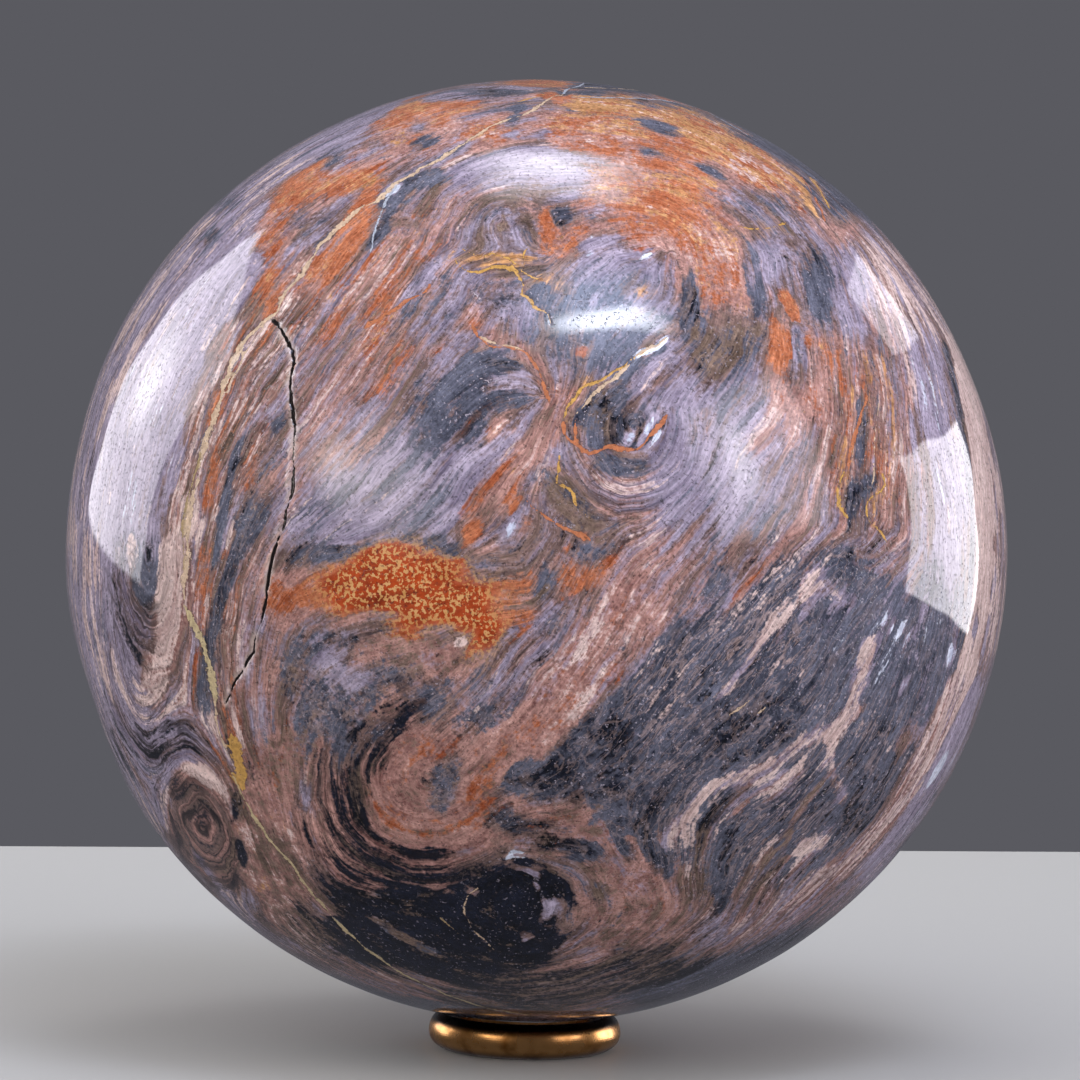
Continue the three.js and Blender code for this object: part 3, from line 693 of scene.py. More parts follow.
def smoothLine(points, step):  # a smooth curve through given points, with a point at about each step
    points = np.array(points, float)
    padded = np.vstack([2 * points[0] - points[1], points, 2 * points[-1] - points[-2]])
    made = []
    for i in range(len(points) - 1):
        before, start, end, after = padded[i:i + 4]
        parts = max(2, int(np.linalg.norm(end - start) / step))
        t = np.linspace(0, 1, parts, endpoint=False)[:, None]
        square = 2 * before - 5 * start + 4 * end - after
        cube = 3 * start - before - 3 * end + after
        made.append(0.5 * (2 * start + (end - before) * t + square * t ** 2 + cube * t ** 3))
    return np.vstack(made + [points[-1:]])


def nearLine(directions, line, reach):  # which directions lie near a line, how far off and how far along it
    middle = unit(line.mean(0))
    spread = np.arccos(np.clip(line @ middle, -1, 1)).max() + reach / ball["radius"]
    close = np.flatnonzero(directions @ middle > math.cos(min(spread, math.pi)))
    best = np.full(len(close), np.inf)
    along = np.zeros(len(close))
    spots = directions[close]
    for i in range(len(line) - 1):
        side = line[i + 1] - line[i]
        t = np.clip((spots - line[i]) @ side / (side @ side), 0, 1)
        gap = np.linalg.norm(spots - line[i] - t[:, None] * side, axis=1)
        nearer = gap < best
        best[nearer] = gap[nearer]
        along[nearer] = (i + t[nearer]) / (len(line) - 1)
    best *= ball["radius"]
    kept = best < reach
    return close[kept], best[kept], along[kept]


def wanderingLine(pixels, seed):  # a line drawn in pixels, laid on the ball with a slight natural wander
    line = onBall(smoothLine(pixels, lineSteps["vein"]))
    drift = [randomWaves(line * ball["radius"], wander["length"], seed + k) for k in range(3)]
    return unit(line + np.stack(drift, 1) * wander["reach"])


veinLines = [(kind, first, last, wanderingLine(points, randomSeeds["veins"] + 5 * i))
             for i, (kind, first, last, points) in enumerate(veins.values())]
for kind, first, last, points in hiddenVeins.values():
    stepped = smoothLine(points, lineSteps["hiddenVein"])
    veinLines.append((kind, first, last, fromDegrees(stepped[:, 0], stepped[:, 1])))
fissureLines = [(first, last, wanderingLine(points, randomSeeds["fissures"]))
                for first, last, points in fissures.values()]
areaShapes = [(rock, shape) for rows in areas.values() for rock, *shapes in rows for shape in shapes]


def drawingPixels(directions):  # where each shows in the photograph, or past the outline if it lies behind
    seen = photoPixels(centre + directions * ball["radius"])
    towardsLens = unit(lens - centre)
    angle = np.arccos(np.clip(directions @ towardsLens, -1, 1))
    outline = math.acos(ball["radius"] / np.linalg.norm(lens - centre))
    flat = directions - np.outer(directions @ towardsLens, towardsLens)
    flat /= np.maximum(np.linalg.norm(flat, axis=1, keepdims=True), 1e-9)
    beyond = np.clip(angle - outline, 0, None)
    outward = shot["ballRadiusPixels"] * (1 + hidden["stretch"] * beyond)
    past = np.array(shot["ballPixel"]) + np.stack([flat @ lensRight, -(flat @ lensUp)], 1) * outward[:, None]
    hiddenSide = beyond > 0
    seen[hiddenSide] = past[hiddenSide]
    return seen, beyond


def halfWidth(shape):
    return shape[0] if len(shape) == 2 else min(shape[2:4])


def shareOf(pixels, shape):  # how far each pixel is from a shape's middle, as a share of the way to its edge
    if len(shape) == 2:
        line = smoothLine(shape[1], lineSteps["band"])
        best = np.full(len(pixels), np.inf)
        for start, end in zip(line[:-1], line[1:]):
            side = end - start
            t = np.clip((pixels - start) @ side / (side @ side), 0, 1)
            best = np.minimum(best, np.linalg.norm(pixels - start - t[:, None] * side, axis=1))
        return best / shape[0]
    right, low, halfAcross, halfDown, turn = shape
    turn = math.radians(turn)
    away = pixels - np.array((right, low), float)
    across = (away[:, 0] * math.cos(turn) + away[:, 1] * math.sin(turn)) / halfAcross
    down = (away[:, 1] * math.cos(turn) - away[:, 0] * math.sin(turn)) / halfDown
    return np.hypot(across, down)


def recipe(name):
    return np.array([rocks[name].get(mineral, 0) for mineral in minerals])


def paintMinerals(directions):  # how much of each mineral shows at each vertex
    spots = directions * ball["radius"]
    pixels, beyond = drawingPixels(directions)
    amounts = np.tile(recipe("dust"), (len(directions), 1))
    rng = np.random.default_rng(hidden["seed"])
    for k in range(hidden["patches"]):
        middle, turned = rng.normal(size=(2, 3))
        middle = unit(middle)
        side = unit(np.cross(middle, turned))
        wide = math.radians(rng.uniform(hidden["smallest"], hidden["largest"]))
        high = wide * rng.uniform(hidden["flattest"], hidden["roundest"])
        name = hidden["rocks"][rng.integers(len(hidden["rocks"]))]
        upright = np.cross(middle, side)
        share = np.hypot(directions @ side / math.sin(wide), directions @ upright / math.sin(high))
        share[directions @ middle < 0] = np.inf
        share += wobble["edge"] * randomWaves(spots, wobble["long"], randomSeeds["hiddenEdges"] + k)
        cover = (1 - smoothStep(*hidden["edge"], share))[:, None]
        amounts += (recipe(name) - amounts) * cover
    front = 1 - smoothStep(*hidden["front"], beyond)
    longWobble = [randomWaves(spots, wobble["long"], randomSeeds["longWobble"] + k) for k in range(6)]
    shortWobble = [randomWaves(spots, wobble["short"], randomSeeds["shortWobble"] + k) for k in range(6)]
    amounts += (recipe("dust") - amounts) * front[:, None]
    for k, (name, shape) in enumerate(areaShapes):
        share = shareOf(pixels, shape)
        small = min(1, halfWidth(shape) / wobble["fullFrom"])
        share += wobble["edge"] * (longWobble[k % 6] * small + wobble["shortShare"] * shortWobble[k % 6])
        cover = (1 - smoothStep(*areaEdge, share)) * front
        amounts += (recipe(name) - amounts) * cover[:, None]
    return amounts


# The fibre directions: each drawn line pulls on what is near it, and a slow random drift fills the rest
fibreField = {"core": 1.2 * mm, "far": 16 * mm, "drift": 70 * mm, "waves": 8, "seed": 5000, "atOnce": 4000}


def flowSamples():  # points of the drawn fibre lines on the ball, with their directions
    lines = [onBall(smoothLine(points, lineSteps["fibre"])) for points in flowLines.values()]
    places = np.vstack([(line[1:] + line[:-1]) / 2 for line in lines])
    headings = np.vstack([line[1:] - line[:-1] for line in lines])
    return unit(places), unit(headings)


def fibreDirections(directions):  # a unit direction along the fibres at each vertex; its sign means nothing
    places, headings = flowSamples()
    spots = directions * ball["radius"]
    first = unit(np.cross(directions, (0.2, 0.31, 0.93)))  # any direction that no vertex points in will do
    second = np.cross(directions, first)
    lift = np.stack([randomWaves(
        spots, fibreField["drift"], fibreField["seed"] + k, fibreField["waves"]) for k in range(3)], 1)
    drift = np.cross(directions, lift)
    core = (fibreField["core"] / ball["radius"]) ** 2
    far = 1 / (fibreField["far"] / ball["radius"]) ** 4
    a, b = (drift * first).sum(1), (drift * second).sum(1)
    size = np.maximum(a * a + b * b, 1e-9)
    cosine, sine = far * (a * a - b * b) / size, far * 2 * a * b / size
    for start in range(0, len(directions), fibreField["atOnce"]):
        part = slice(start, start + fibreField["atOnce"])
        weight = 1 / (2 - 2 * directions[part] @ places.T + core) ** 2
        a, b = first[part] @ headings.T, second[part] @ headings.T
        weight /= np.maximum(a * a + b * b, 1e-9)
        cosine[part] += (weight * (a * a - b * b)).sum(1)
        sine[part] += (weight * 2 * a * b).sum(1)
    turn = np.arctan2(sine, cosine)[:, None] / 2
    return np.cos(turn) * first + np.sin(turn) * second


def solveHeights(edges, wanted, count, rounds):  # heights whose steps along the edges fit the wanted steps
    tail, head = edges[:, 0], edges[:, 1]
    degree = np.maximum(np.bincount(tail, minlength=count) + np.bincount(head, minlength=count), 1)

    def spreadSteps(steps):
        return np.bincount(head, steps, count) - np.bincount(tail, steps, count)

    heights = np.zeros(count)
    residual = spreadSteps(wanted)
    scaled = residual / degree
    search = scaled.copy()
    energy = residual @ scaled
    for _ in range(rounds):
        pushed = spreadSteps(search[head] - search[tail])
        pace = energy / (search @ pushed)
        heights += pace * search
        residual -= pace * pushed
        scaled = residual / degree
        newEnergy = residual @ scaled
        search = scaled + search * (newEnergy / energy)
        energy = newEnergy
    return heights


# The fibres' coordinates. No single one fits the whole ball, so it is covered three times over by small
# charts that overlap. Each has a place across and along the fibres, and fades out before its border. Closed
# folds have their own.
charts = {
    "count": 690, "seed": 61, "layers": 3, "stray": 0.012, "fadeFrom": 0.8 * mm, "fadeTo": 5.5 * mm,
    "apart": 0.037, "rounds": 90}
eyes = {
    # name: (patch, side that it opens to)
    "hooks": ((148, 545, 50, 172, -3), (0, -1)),
    "swirl": ((203, 826, 42, 80, -20), (0, 0)),
    "bowl": ((634, 425, 82, 104, 8), (0, -1)),
    "horseshoe": ((428, 778, 128, 124, 0), (0.76, -0.65)),
}
eyeValues = {
    "apart": 9,  # metres along the pattern between the folds' coordinates and the charts'
    "edge": (0.8, 1.0), "opening": (-0.05, 0.3),  # where a fold fades, as shares of its half width
    "leastShare": 0.2,  # inside this share of the way out the bands go round no tighter
}


def chartSeeds():  # evenly spread points, dealt to the layers so that neighbours differ
    rng = np.random.default_rng(charts["seed"])
    step = np.arange(charts["count"]) + 0.5
    high = 1 - 2 * step / charts["count"]
    turn = math.pi * (1 + math.sqrt(5)) * step
    wide = np.sqrt(1 - high ** 2)
    points = np.stack([wide * np.cos(turn), wide * np.sin(turn), high], 1)
    points = unit(points + rng.normal(0, charts["stray"], (len(step), 3)))
    layers = [[] for _ in range(charts["layers"])]
    for point in points:
        gaps = [min((2 - 2 * point @ other for other in layer), default=np.inf) for layer in layers]
        layers[int(np.argmax(gaps))].append(point)
    return [np.array(layer) for layer in layers]


def chartLayer(directions, fibres, edges, seeds):  # place across, place along and weight at each vertex
    nearness = directions @ seeds.T
    cell = nearness.argmax(1)
    first = nearness[np.arange(len(cell)), cell]
    nearness[np.arange(len(cell)), cell] = -np.inf
    second = nearness.max(1)
    border = (np.arccos(np.clip(second, -1, 1)) - np.arccos(np.clip(first, -1, 1))) * ball["radius"] / 2
    weight = smoothStep(charts["fadeFrom"], charts["fadeTo"], border)
    tail, head = edges[:, 0], edges[:, 1]
    split = cell[tail] != cell[head]
    weight[tail[split]] = 0
    weight[head[split]] = 0
    middle = np.array([np.flatnonzero(cell == k)[first[cell == k].argmax()] for k in range(len(seeds))])
    leading = fibres[middle][cell]
    along = fibres * np.where((fibres * leading).sum(1) < 0, -1, 1)[:, None]
    across = np.cross(directions, along)
    kept = edges[~split & ((along[tail] * along[head]).sum(1) > 0)]
    span = (directions[kept[:, 1]] - directions[kept[:, 0]]) * ball["radius"]
    made = []
    for way in (across, along):
        wanted = (span * (way[kept[:, 0]] + way[kept[:, 1]])).sum(1) / 2
        made.append(solveHeights(kept, wanted, len(directions), charts["rounds"]))
    made[0] += cell * charts["apart"]
    return np.stack(made + [weight], 1)


def eyeLayer(directions):  # the same for the closed folds, whose bands run round a point
    pixels, beyond = drawingPixels(directions)
    made = np.zeros((len(directions), 3))
    toMetres = perPixel * (shot["distance"] - ball["radius"]) / shot["distance"]
    for k, (patch, opening) in enumerate(eyes.values()):
        share = shareOf(pixels, patch)
        away = pixels - np.array(patch[:2])
        size = math.sqrt(patch[2] * patch[3])
        weight = (1 - smoothStep(*eyeValues["edge"], share)) * (beyond <= 0)
        if any(opening):
            weight *= 1 - smoothStep(*eyeValues["opening"], away @ np.array(opening) / halfWidth(patch))
        angle = np.abs(np.arctan2(away[:, 0], -away[:, 1]))
        inside = weight > 0
        out = share * halfWidth(patch) * toMetres + eyeValues["apart"] + k * charts["apart"]
        made[inside, 0] = out[inside]
        made[inside, 1] = (angle * size * np.maximum(share, eyeValues["leastShare"]) * toMetres)[inside]
        made[inside, 2] = weight[inside]
    return made


drawing = {"rounds": 4, "pull": 1.5, "sharpness": 4}  # how far the minerals are drawn out along the fibres


def drawOut(amounts, directions, fibres, edges):
    tail, head = edges[:, 0], edges[:, 1]
    span = directions[head] - directions[tail]
    lengths = (span ** 2).sum(1)
    lean = ((span * fibres[tail]).sum(1) ** 2 + (span * fibres[head]).sum(1) ** 2) / (2 * lengths)
    pull = lean ** drawing["sharpness"] * drawing["pull"]
    count = len(directions)
    total = 1 + np.bincount(tail, pull, count) + np.bincount(head, pull, count)
    for _ in range(drawing["rounds"]):
        for k in range(amounts.shape[1]):
            column = amounts[:, k]
            ahead = np.bincount(tail, pull * column[head], count)
            behind = np.bincount(head, pull * column[tail], count)
            amounts[:, k] = (column + (ahead + behind)) / total
    return amounts


def swollen(spots, values):  # how much wider or narrower a vein or crack is in places
    return 1 + sum(share * randomWaves(spots, length, seed) for length, share, seed in values["swelling"])


def lineWidths(first, last, along, swelling, values):
    return (first + (last - first) * along) * mm * np.clip(swelling, values["thinnest"], values["thickest"])


def paintVeins(directions):  # how near each vertex is to a vein, the vein's colour and its groove's depth
    nearness = np.full(len(directions), -1.0)
    tint = np.tile(linear(tints["cream"])[:3], (len(directions), 1))
    groove = np.zeros(len(directions))
    swelling = swollen(directions * ball["radius"], veinValues)
    full, thinner = veinValues["taper"]
    for kind, first, last, line in veinLines:
        index, gap, along = nearLine(directions, line, veinValues["reach"])
        width = lineWidths(first, last, along, swelling[index], veinValues)
        width *= veinValues["widthShare"] * smoothStep(0, full, along) * (
            1 - smoothStep(thinner, 1, along)) + veinValues["leastWidth"]
        near = 1 - gap / width
        stronger = near > nearness[index]
        index, near = index[stronger], near[stronger]
        nearness[index] = near
        tint[index] = linear(tints[kind])[:3]
        groove[index] = np.maximum(groove[index], veinValues["groove"] * np.clip(near * 2, 0, 1))
    return nearness, tint, groove


def paintFissure(directions):  # the open crack: its dark line, its pale rims and its depth
    crack = np.full(len(directions), -1.0)
    rim = np.zeros(len(directions))
    depth = np.zeros(len(directions))
    spots = directions * ball["radius"]
    swelling = swollen(spots, fissureValues)
    for first, last, line in fissureLines:
        index, gap, along = nearLine(directions, line, veinValues["reach"])
        near = 1 - gap / lineWidths(first, last, along, swelling[index], fissureValues)
        crack[index] = np.maximum(crack[index], near)
        depth[index] = np.maximum(depth[index], fissureValues["depth"] * np.clip(near, 0, 1))
        patches = randomWaves(spots[index], fissureValues["rimPatches"], randomSeeds["rim"])
        pale = 1 - smoothStep(*fissureValues["rimFade"], gap / fissureValues["rim"])
        rim[index] = np.maximum(rim[index], pale * smoothStep(*fissureValues["rimBand"], patches))
    pixels, _ = drawingPixels(directions)
    for patch, chipDepth in chips.values():
        depth += chipDepth * mm * (1 - smoothStep(*chipEdge, shareOf(pixels, patch)))
    return crack, rim, depth


# The ball is ground by hand: a few shallow flats and one worn nick, as in the CAD
flats = [
    # degrees on the outline from +X towards +Z, degrees turned to the front, spread in degrees, depth in mm
    (199.3, 4, 9, 0.95), (173.3, 0, 14, 0.4), (25.3, 0, 13, 0.35), (150, -80, 16, 0.45), (88.3, 6, 5, 0.55)]
polish = {"seed": 900, "bumps": 11 * mm, "depth": 0.012 * mm}


def sinkOfFlats(directions):
    sink = np.zeros(len(directions))
    for angle, towardsFront, spread, depth in flats:
        angle, towardsFront = math.radians(angle), math.radians(towardsFront)
        across = math.cos(towardsFront)
        middle = np.array([math.cos(angle) * across, -math.sin(towardsFront), math.sin(angle) * across])
        away = np.degrees(np.arccos(np.clip(directions @ middle, -1, 1))) / spread
        sink += depth * mm * np.exp(-away ** 2)
    return sink


def readAll(items, key, width=1, kind=float):  # one property of all vertices, edges, corners or faces
    values = np.empty(len(items) * width, kind)
    items.foreach_get(key, values)
    return values.reshape(-1, width) if width > 1 else values


def vertexDirections(mesh):
    return unit(readAll(mesh.vertices, "co", 3) - centre)


def meshEdges(mesh):
    return readAll(mesh.edges, "vertices", 2, int)


def setPlaces(mesh, places):
    mesh.vertices.foreach_set("co", places.ravel())
    mesh.update()


def store(mesh, name, values):
    kind, key = {1: ("FLOAT", "value"), 3: ("FLOAT_VECTOR", "vector"), 4: ("FLOAT_COLOR", "color")}[
        1 if values.ndim == 1 else values.shape[1]]
    attribute = mesh.attributes.new(name, kind, "POINT")
    attribute.data.foreach_set(key, values.astype(np.float32).ravel())


def editAll(operator, **options):  # one edit mode operator on the whole piece
    bpy.ops.object.mode_set(mode="EDIT")
    bpy.ops.mesh.select_all(action="SELECT")
    operator(**options)
    bpy.ops.object.mode_set(mode="OBJECT")


def refine(mesh, chosen):  # halve the edges between chosen vertices
    corners = readAll(mesh.loops, "vertex_index", 1, int)
    starts = readAll(mesh.polygons, "loop_start", 1, int)
    mesh.vertices.foreach_set("select", chosen)
    mesh.edges.foreach_set("select", chosen[meshEdges(mesh)].all(1))
    mesh.polygons.foreach_set("select", np.minimum.reduceat(chosen[corners], starts))
    bpy.ops.object.mode_set(mode="EDIT")
    bpy.ops.mesh.select_mode(type="VERT")
    bpy.ops.mesh.subdivide(number_cuts=1)
    bpy.ops.object.mode_set(mode="OBJECT")


def nearDrawnLines(directions, reach):
    near = np.zeros(len(directions), bool)
    for *_, line in veinLines + fissureLines:
        near[nearLine(directions, line, reach)[0]] = True
    return near


def nearSmallAreas(directions):
    pixels, beyond = drawingPixels(directions)
    near = np.zeros(len(directions), bool)
    for _, shape in areaShapes:
        size = halfWidth(shape)
        if size < ball["smallPatch"]:
            near |= (shareOf(pixels, shape) * size < size + ball["patchReach"]) & (beyond <= 0)
    return near


def shapeBall():
    bpy.ops.object.select_all(action="DESELECT")
    bpy.ops.mesh.primitive_ico_sphere_add(
        subdivisions=ball["icoLevel"], radius=ball["radius"], location=ballCentre)
    piece = bpy.context.object
    piece.name = "stoneBall"
    bpy.ops.object.transform_apply(location=True, rotation=True, scale=True)
    editAll(bpy.ops.mesh.subdivide, number_cuts=ball["cuts"])
    mesh = piece.data
    directions = vertexDirections(mesh)
    fibres = fibreDirections(directions)
    store(mesh, "fibre", fibres)
    eyeChart = eyeLayer(directions)
    store(mesh, "chartEyes", eyeChart)
    for name, seeds in zip(("chartA", "chartB", "chartC"), chartSeeds()):
        chart = chartLayer(directions, fibres, meshEdges(mesh), seeds)
        chart[:, 2] *= 1 - eyeChart[:, 2]
        store(mesh, name, chart)
    print("fibre charts solved on", len(directions), "vertices")
    refine(mesh, nearDrawnLines(directions, ball["fineReach"]) | nearSmallAreas(directions))
    refine(mesh, nearDrawnLines(vertexDirections(mesh), ball["finestReach"]))
    editAll(bpy.ops.mesh.quads_convert_to_tris)
    directions = vertexDirections(mesh)
    fibres = readAll(mesh.attributes["fibre"].data, "vector", 3)
    mesh.attributes.remove(mesh.attributes["fibre"])
    amounts = drawOut(paintMinerals(directions), directions, fibres, meshEdges(mesh))
    for k, name in enumerate(mineralAttributes):
        store(mesh, name, amounts[:, 4 * k:4 * k + 4])
    print("minerals painted")
    nearness, tint, groove = paintVeins(directions)
    crack, rim, depth = paintFissure(directions)
    store(mesh, "vein", nearness)
    store(mesh, "veinTint", np.hstack([tint, np.ones((len(tint), 1))]))
    store(mesh, "crack", crack)
    store(mesh, "rim", rim)
    reach = ball["radius"] - sinkOfFlats(directions) - groove - depth
    reach -= polish["depth"] * (1 + randomWaves(directions * ball["radius"], polish["bumps"], polish["seed"]))
    setPlaces(mesh, centre + directions * reach[:, None])
    bpy.ops.object.shade_smooth()
    print("ball shaped with", len(mesh.polygons), "faces")
    return piece


# The stone's look. Each mineral has two tones, reads its own pair of fibre patterns and is laid over those
# before it.
mineralAttributes = ("mineralsA", "mineralsB", "mineralsC")
mineralLooks = {
    # mineral: (dark tone, light tone, broad pattern and sign, middle pattern and sign, softness of its edges)
    "pink": ("#6c4542", "#c0958b", 0, 1, 1, 1, 0.26),
    "lilac": ("#5f566a", "#ada1b4", 1, 1, 0, -1, 0.28),
    "slate": ("#222531", "#686979", 2, 1, 2, 1, 0.20),
    "ink": ("#040509", "#1c2030", 0, -1, 0, 1, 0.18),
    "olive": ("#40332c", "#8d7669", 1, -1, 2, -1, 0.22),
    "rust": ("#854328", "#ca8461", 2, -1, 1, -1, 0.20),
    "gold": ("#8d5f38", "#d5a373", 1, 1, 1, 1, 0.20),
    "cream": ("#a88c88", "#dcc5bf", 0, 1, 2, 1, 0.15),
    "ice": ("#9ea3bb", "#cfd3e0", 2, 1, 0, 1, 0.12),
}
stoneValues = {
    "dustTones": ("#4b3a39", "#9c7f77"), "fleckTones": ("#b07a3a", "#dcb27c"),
    "brecciaTones": ("#651a07", "#b7471a"), "crackAndPitShadeColour": "#17100e", "rimColour": "#d8c4ba",
    "veinEdgeColour": "#3d2a26", "lineColour": "#1c161a", "threadColour": "#b79c96",
    "speckColour": "#aaa0ac",
    "patterns": {
        # fibre length and width in mm, octaves; size of the clumps where it is grainy in mm, octaves, swirl
        "broad": (44, 3.4, 3.0, 8.5, 3, 0.7),
        "middle": (16, 1.3, 3.5, 2.6, 3, 0),
        "fine": (4, 0.34, 1.5, 0.5, 1, 0)},
    "apart": (17.3, 5.7),  # steps across and along between the patterns, so that none repeats another
    "clumpShare": 1.5, "leastWeight": 0.02, "roughness": 0.6,
    "wavers": ((8, 1.8), (2.5, 0.6)),  # size and depth in mm of how the fibres waver
    "grit": 0.7, "net": 0.56, "pit": 0.5, "pitDepth": 0.12,  # mm
    "spread": {
        "amount": 1.3, "start": -0.3, "broad": 1.3, "middle": 1.3, "fine": 0.35, "grit": 0.55, "grain": 0.35},
    "tone": {"start": -1.25, "middle": 1.1, "broad": 1.3, "fine": 0.5, "grit": 0.6},
    "mottling": (0.7, 1.3, 0.70, 1.32),  # from and to
    "veinMottling": (0.3, 0.7, 0.62, 1.05),
    # a mask's band: where it starts, where it is full, and how much it then covers
    "lineBand": (0.034, 0.004, 0.75), "speckBand": (0.645, 0.71, 0.75), "netBand": (0.50, 0.58, 0.85),
    "veinEdgeBand": (1.2, 1.45, 0.5), "veinBand": (1.42, 1.62, 0.92), "crackBand": (0.25, 0.55, 1.0),
    "pitBand": (0.635, 0.68, 0.5), "brecciaBand": (0.4, 0.8, 0.9), "rimCover": 0.5,
    "netFray": 1.2, "gritFray": 1.0,  # how the net and the grit fray the veins
}


def addUp(tree, total, parts):  # a running total of sockets, each times its share
    for socket, share in parts:
        total = addNode(tree, "Math", {0: socket, 1: share, 2: total}, operation="MULTIPLY_ADD")
    return total


def layOver(tree, colour, tint, mask, band, *shares):  # one colour over another where a mask lies in its band
    low, high, most = band
    cover = addNode(tree, "MapRange", {
        "Value": mask, "From Min": low, "From Max": high, "To Max": most}, interpolation_type="SMOOTHSTEP")
    for share in shares:
        cover = addNode(tree, "Math", {0: cover, 1: share}, operation="MULTIPLY")
    return addNode(tree, "Mix", {0: cover, 6: colour, 7: tint}, data_type="RGBA")


def readMinerals(tree):
    amounts = {}
    for first, name in enumerate(mineralAttributes):
        read = addNode(tree, "Attribute", {}, attribute_name=name)
        parts = addNode(tree, "SeparateColor", {"Color": read.outputs["Color"]})
        for k, mineral in enumerate(minerals[4 * first:4 * first + 4]):
            amounts[mineral] = parts.outputs[k] if k < 3 else read.outputs["Alpha"]
    return amounts


def readCharts(tree, place):  # each chart's place across and along the fibres, and its weight
    waver = addUp(tree, 0.0, [
        (addNode(tree, "TexNoise", {"Vector": place, "Scale": 1 / (size * mm), "Detail": 1.0}), depth * mm)
        for size, depth in stoneValues["wavers"]])
    layers = []
    for name in ("chartA", "chartB", "chartC", "chartEyes"):
        read = addNode(tree, "Attribute", {}, attribute_name=name)
        across, along, weight = addNode(tree, "SeparateXYZ", {0: read.outputs["Vector"]}).outputs
        layers.append((addNode(tree, "Math", {0: across, 1: waver}, operation="ADD"), along, weight))
    return layers


def fibrePatterns(tree, place, grain):  # three patterns of three random values each, drawn along the fibres
    layers = readCharts(tree, place)
    clumpWeight = addNode(tree, "Math", {0: grain, 1: stoneValues["clumpShare"]}, operation="MULTIPLY")
    weights = [weight for across, along, weight in layers] + [clumpWeight]
    power = addUp(tree, stoneValues["leastWeight"], [(weight, weight) for weight in weights])
    strength = addNode(tree, "Math", {0: power}, operation="INVERSE_SQRT")
    stepAcross, stepAlong = stoneValues["apart"]
    patterns = {}
    for k, (name, row) in enumerate(stoneValues["patterns"].items()):
        length, width, octaves, size, clumpOctaves, swirl = row
        noises = [(clumpWeight, addNode(tree, "TexNoise", {
            "Vector": place, "Scale": 1 / (size * mm), "Detail": clumpOctaves,
            "Roughness": stoneValues["roughness"], "Distortion": swirl}))]
        for across, along, weight in layers:
            x = addNode(tree, "Math", {
                0: across, 1: 1 / (width * mm), 2: stepAcross * (k + 1)}, operation="MULTIPLY_ADD")
            y = addNode(tree, "Math", {
                0: along, 1: 1 / (length * mm), 2: stepAlong * (k + 1)}, operation="MULTIPLY_ADD")
            noises.append((weight, addNode(tree, "TexNoise", {
                "Vector": addNode(tree, "CombineXYZ", {0: x, 1: y}), "Scale": 1.0, "Detail": octaves,
                "Roughness": stoneValues["roughness"]}, noise_dimensions="2D")))
        mixed = (0.5, 0.5, 0.5)
        for weight, noise in noises:
            centred = addNode(
                tree, "VectorMath", {0: noise.outputs["Color"], 1: (0.5, 0.5, 0.5)}, operation="SUBTRACT")
            part = addNode(tree, "Math", {0: weight, 1: strength}, operation="MULTIPLY")
            mixed = addNode(tree, "VectorMath", {0: centred, 1: part, 2: mixed}, operation="MULTIPLY_ADD")
        patterns[name] = list(addNode(tree, "SeparateXYZ", {0: mixed}).outputs)
    return patterns


def mineralColour(tree, amounts, patterns, grit, tones):  # the minerals, laid over each other in their order
    spread = stoneValues["spread"]
    gritWeight = addNode(tree, "Math", {
        0: amounts["grain"], 1: spread["grain"], 2: spread["grit"]}, operation="MULTIPLY_ADD")
    centred = [addNode(tree, "Math", {0: part, 1: 0.5}, operation="SUBTRACT") for part in grit]
    grit = [addNode(tree, "Math", {0: part, 1: gritWeight}, operation="MULTIPLY") for part in centred]
    dark, light = stoneValues["dustTones"]
    colour = addNode(tree, "Mix", {0: tones[0], 6: linear(dark), 7: linear(light)}, data_type="RGBA")
    for k, (mineral, look) in enumerate(mineralLooks.items()):
        dark, light, broad, broadSign, middle, middleSign, softness = look
        parts = [
            (patterns["broad"][broad], broadSign * spread["broad"]),
            (patterns["middle"][middle], middleSign * spread["middle"]),
            (patterns["fine"][k % 3], spread["fine"])]
        start = spread["start"] - sum(share for _, share in parts) / 2
        share = addUp(tree, start, [(amounts[mineral], spread["amount"])] + parts + [(grit[k % 3], 1.0)])
        tone = addNode(tree, "Mix", {
            0: tones[(k + 1) % 3], 6: linear(dark), 7: linear(light)}, data_type="RGBA")
        colour = layOver(tree, colour, tone, share, (0.5 - softness, 0.5 + softness, 1.0))
    return colour


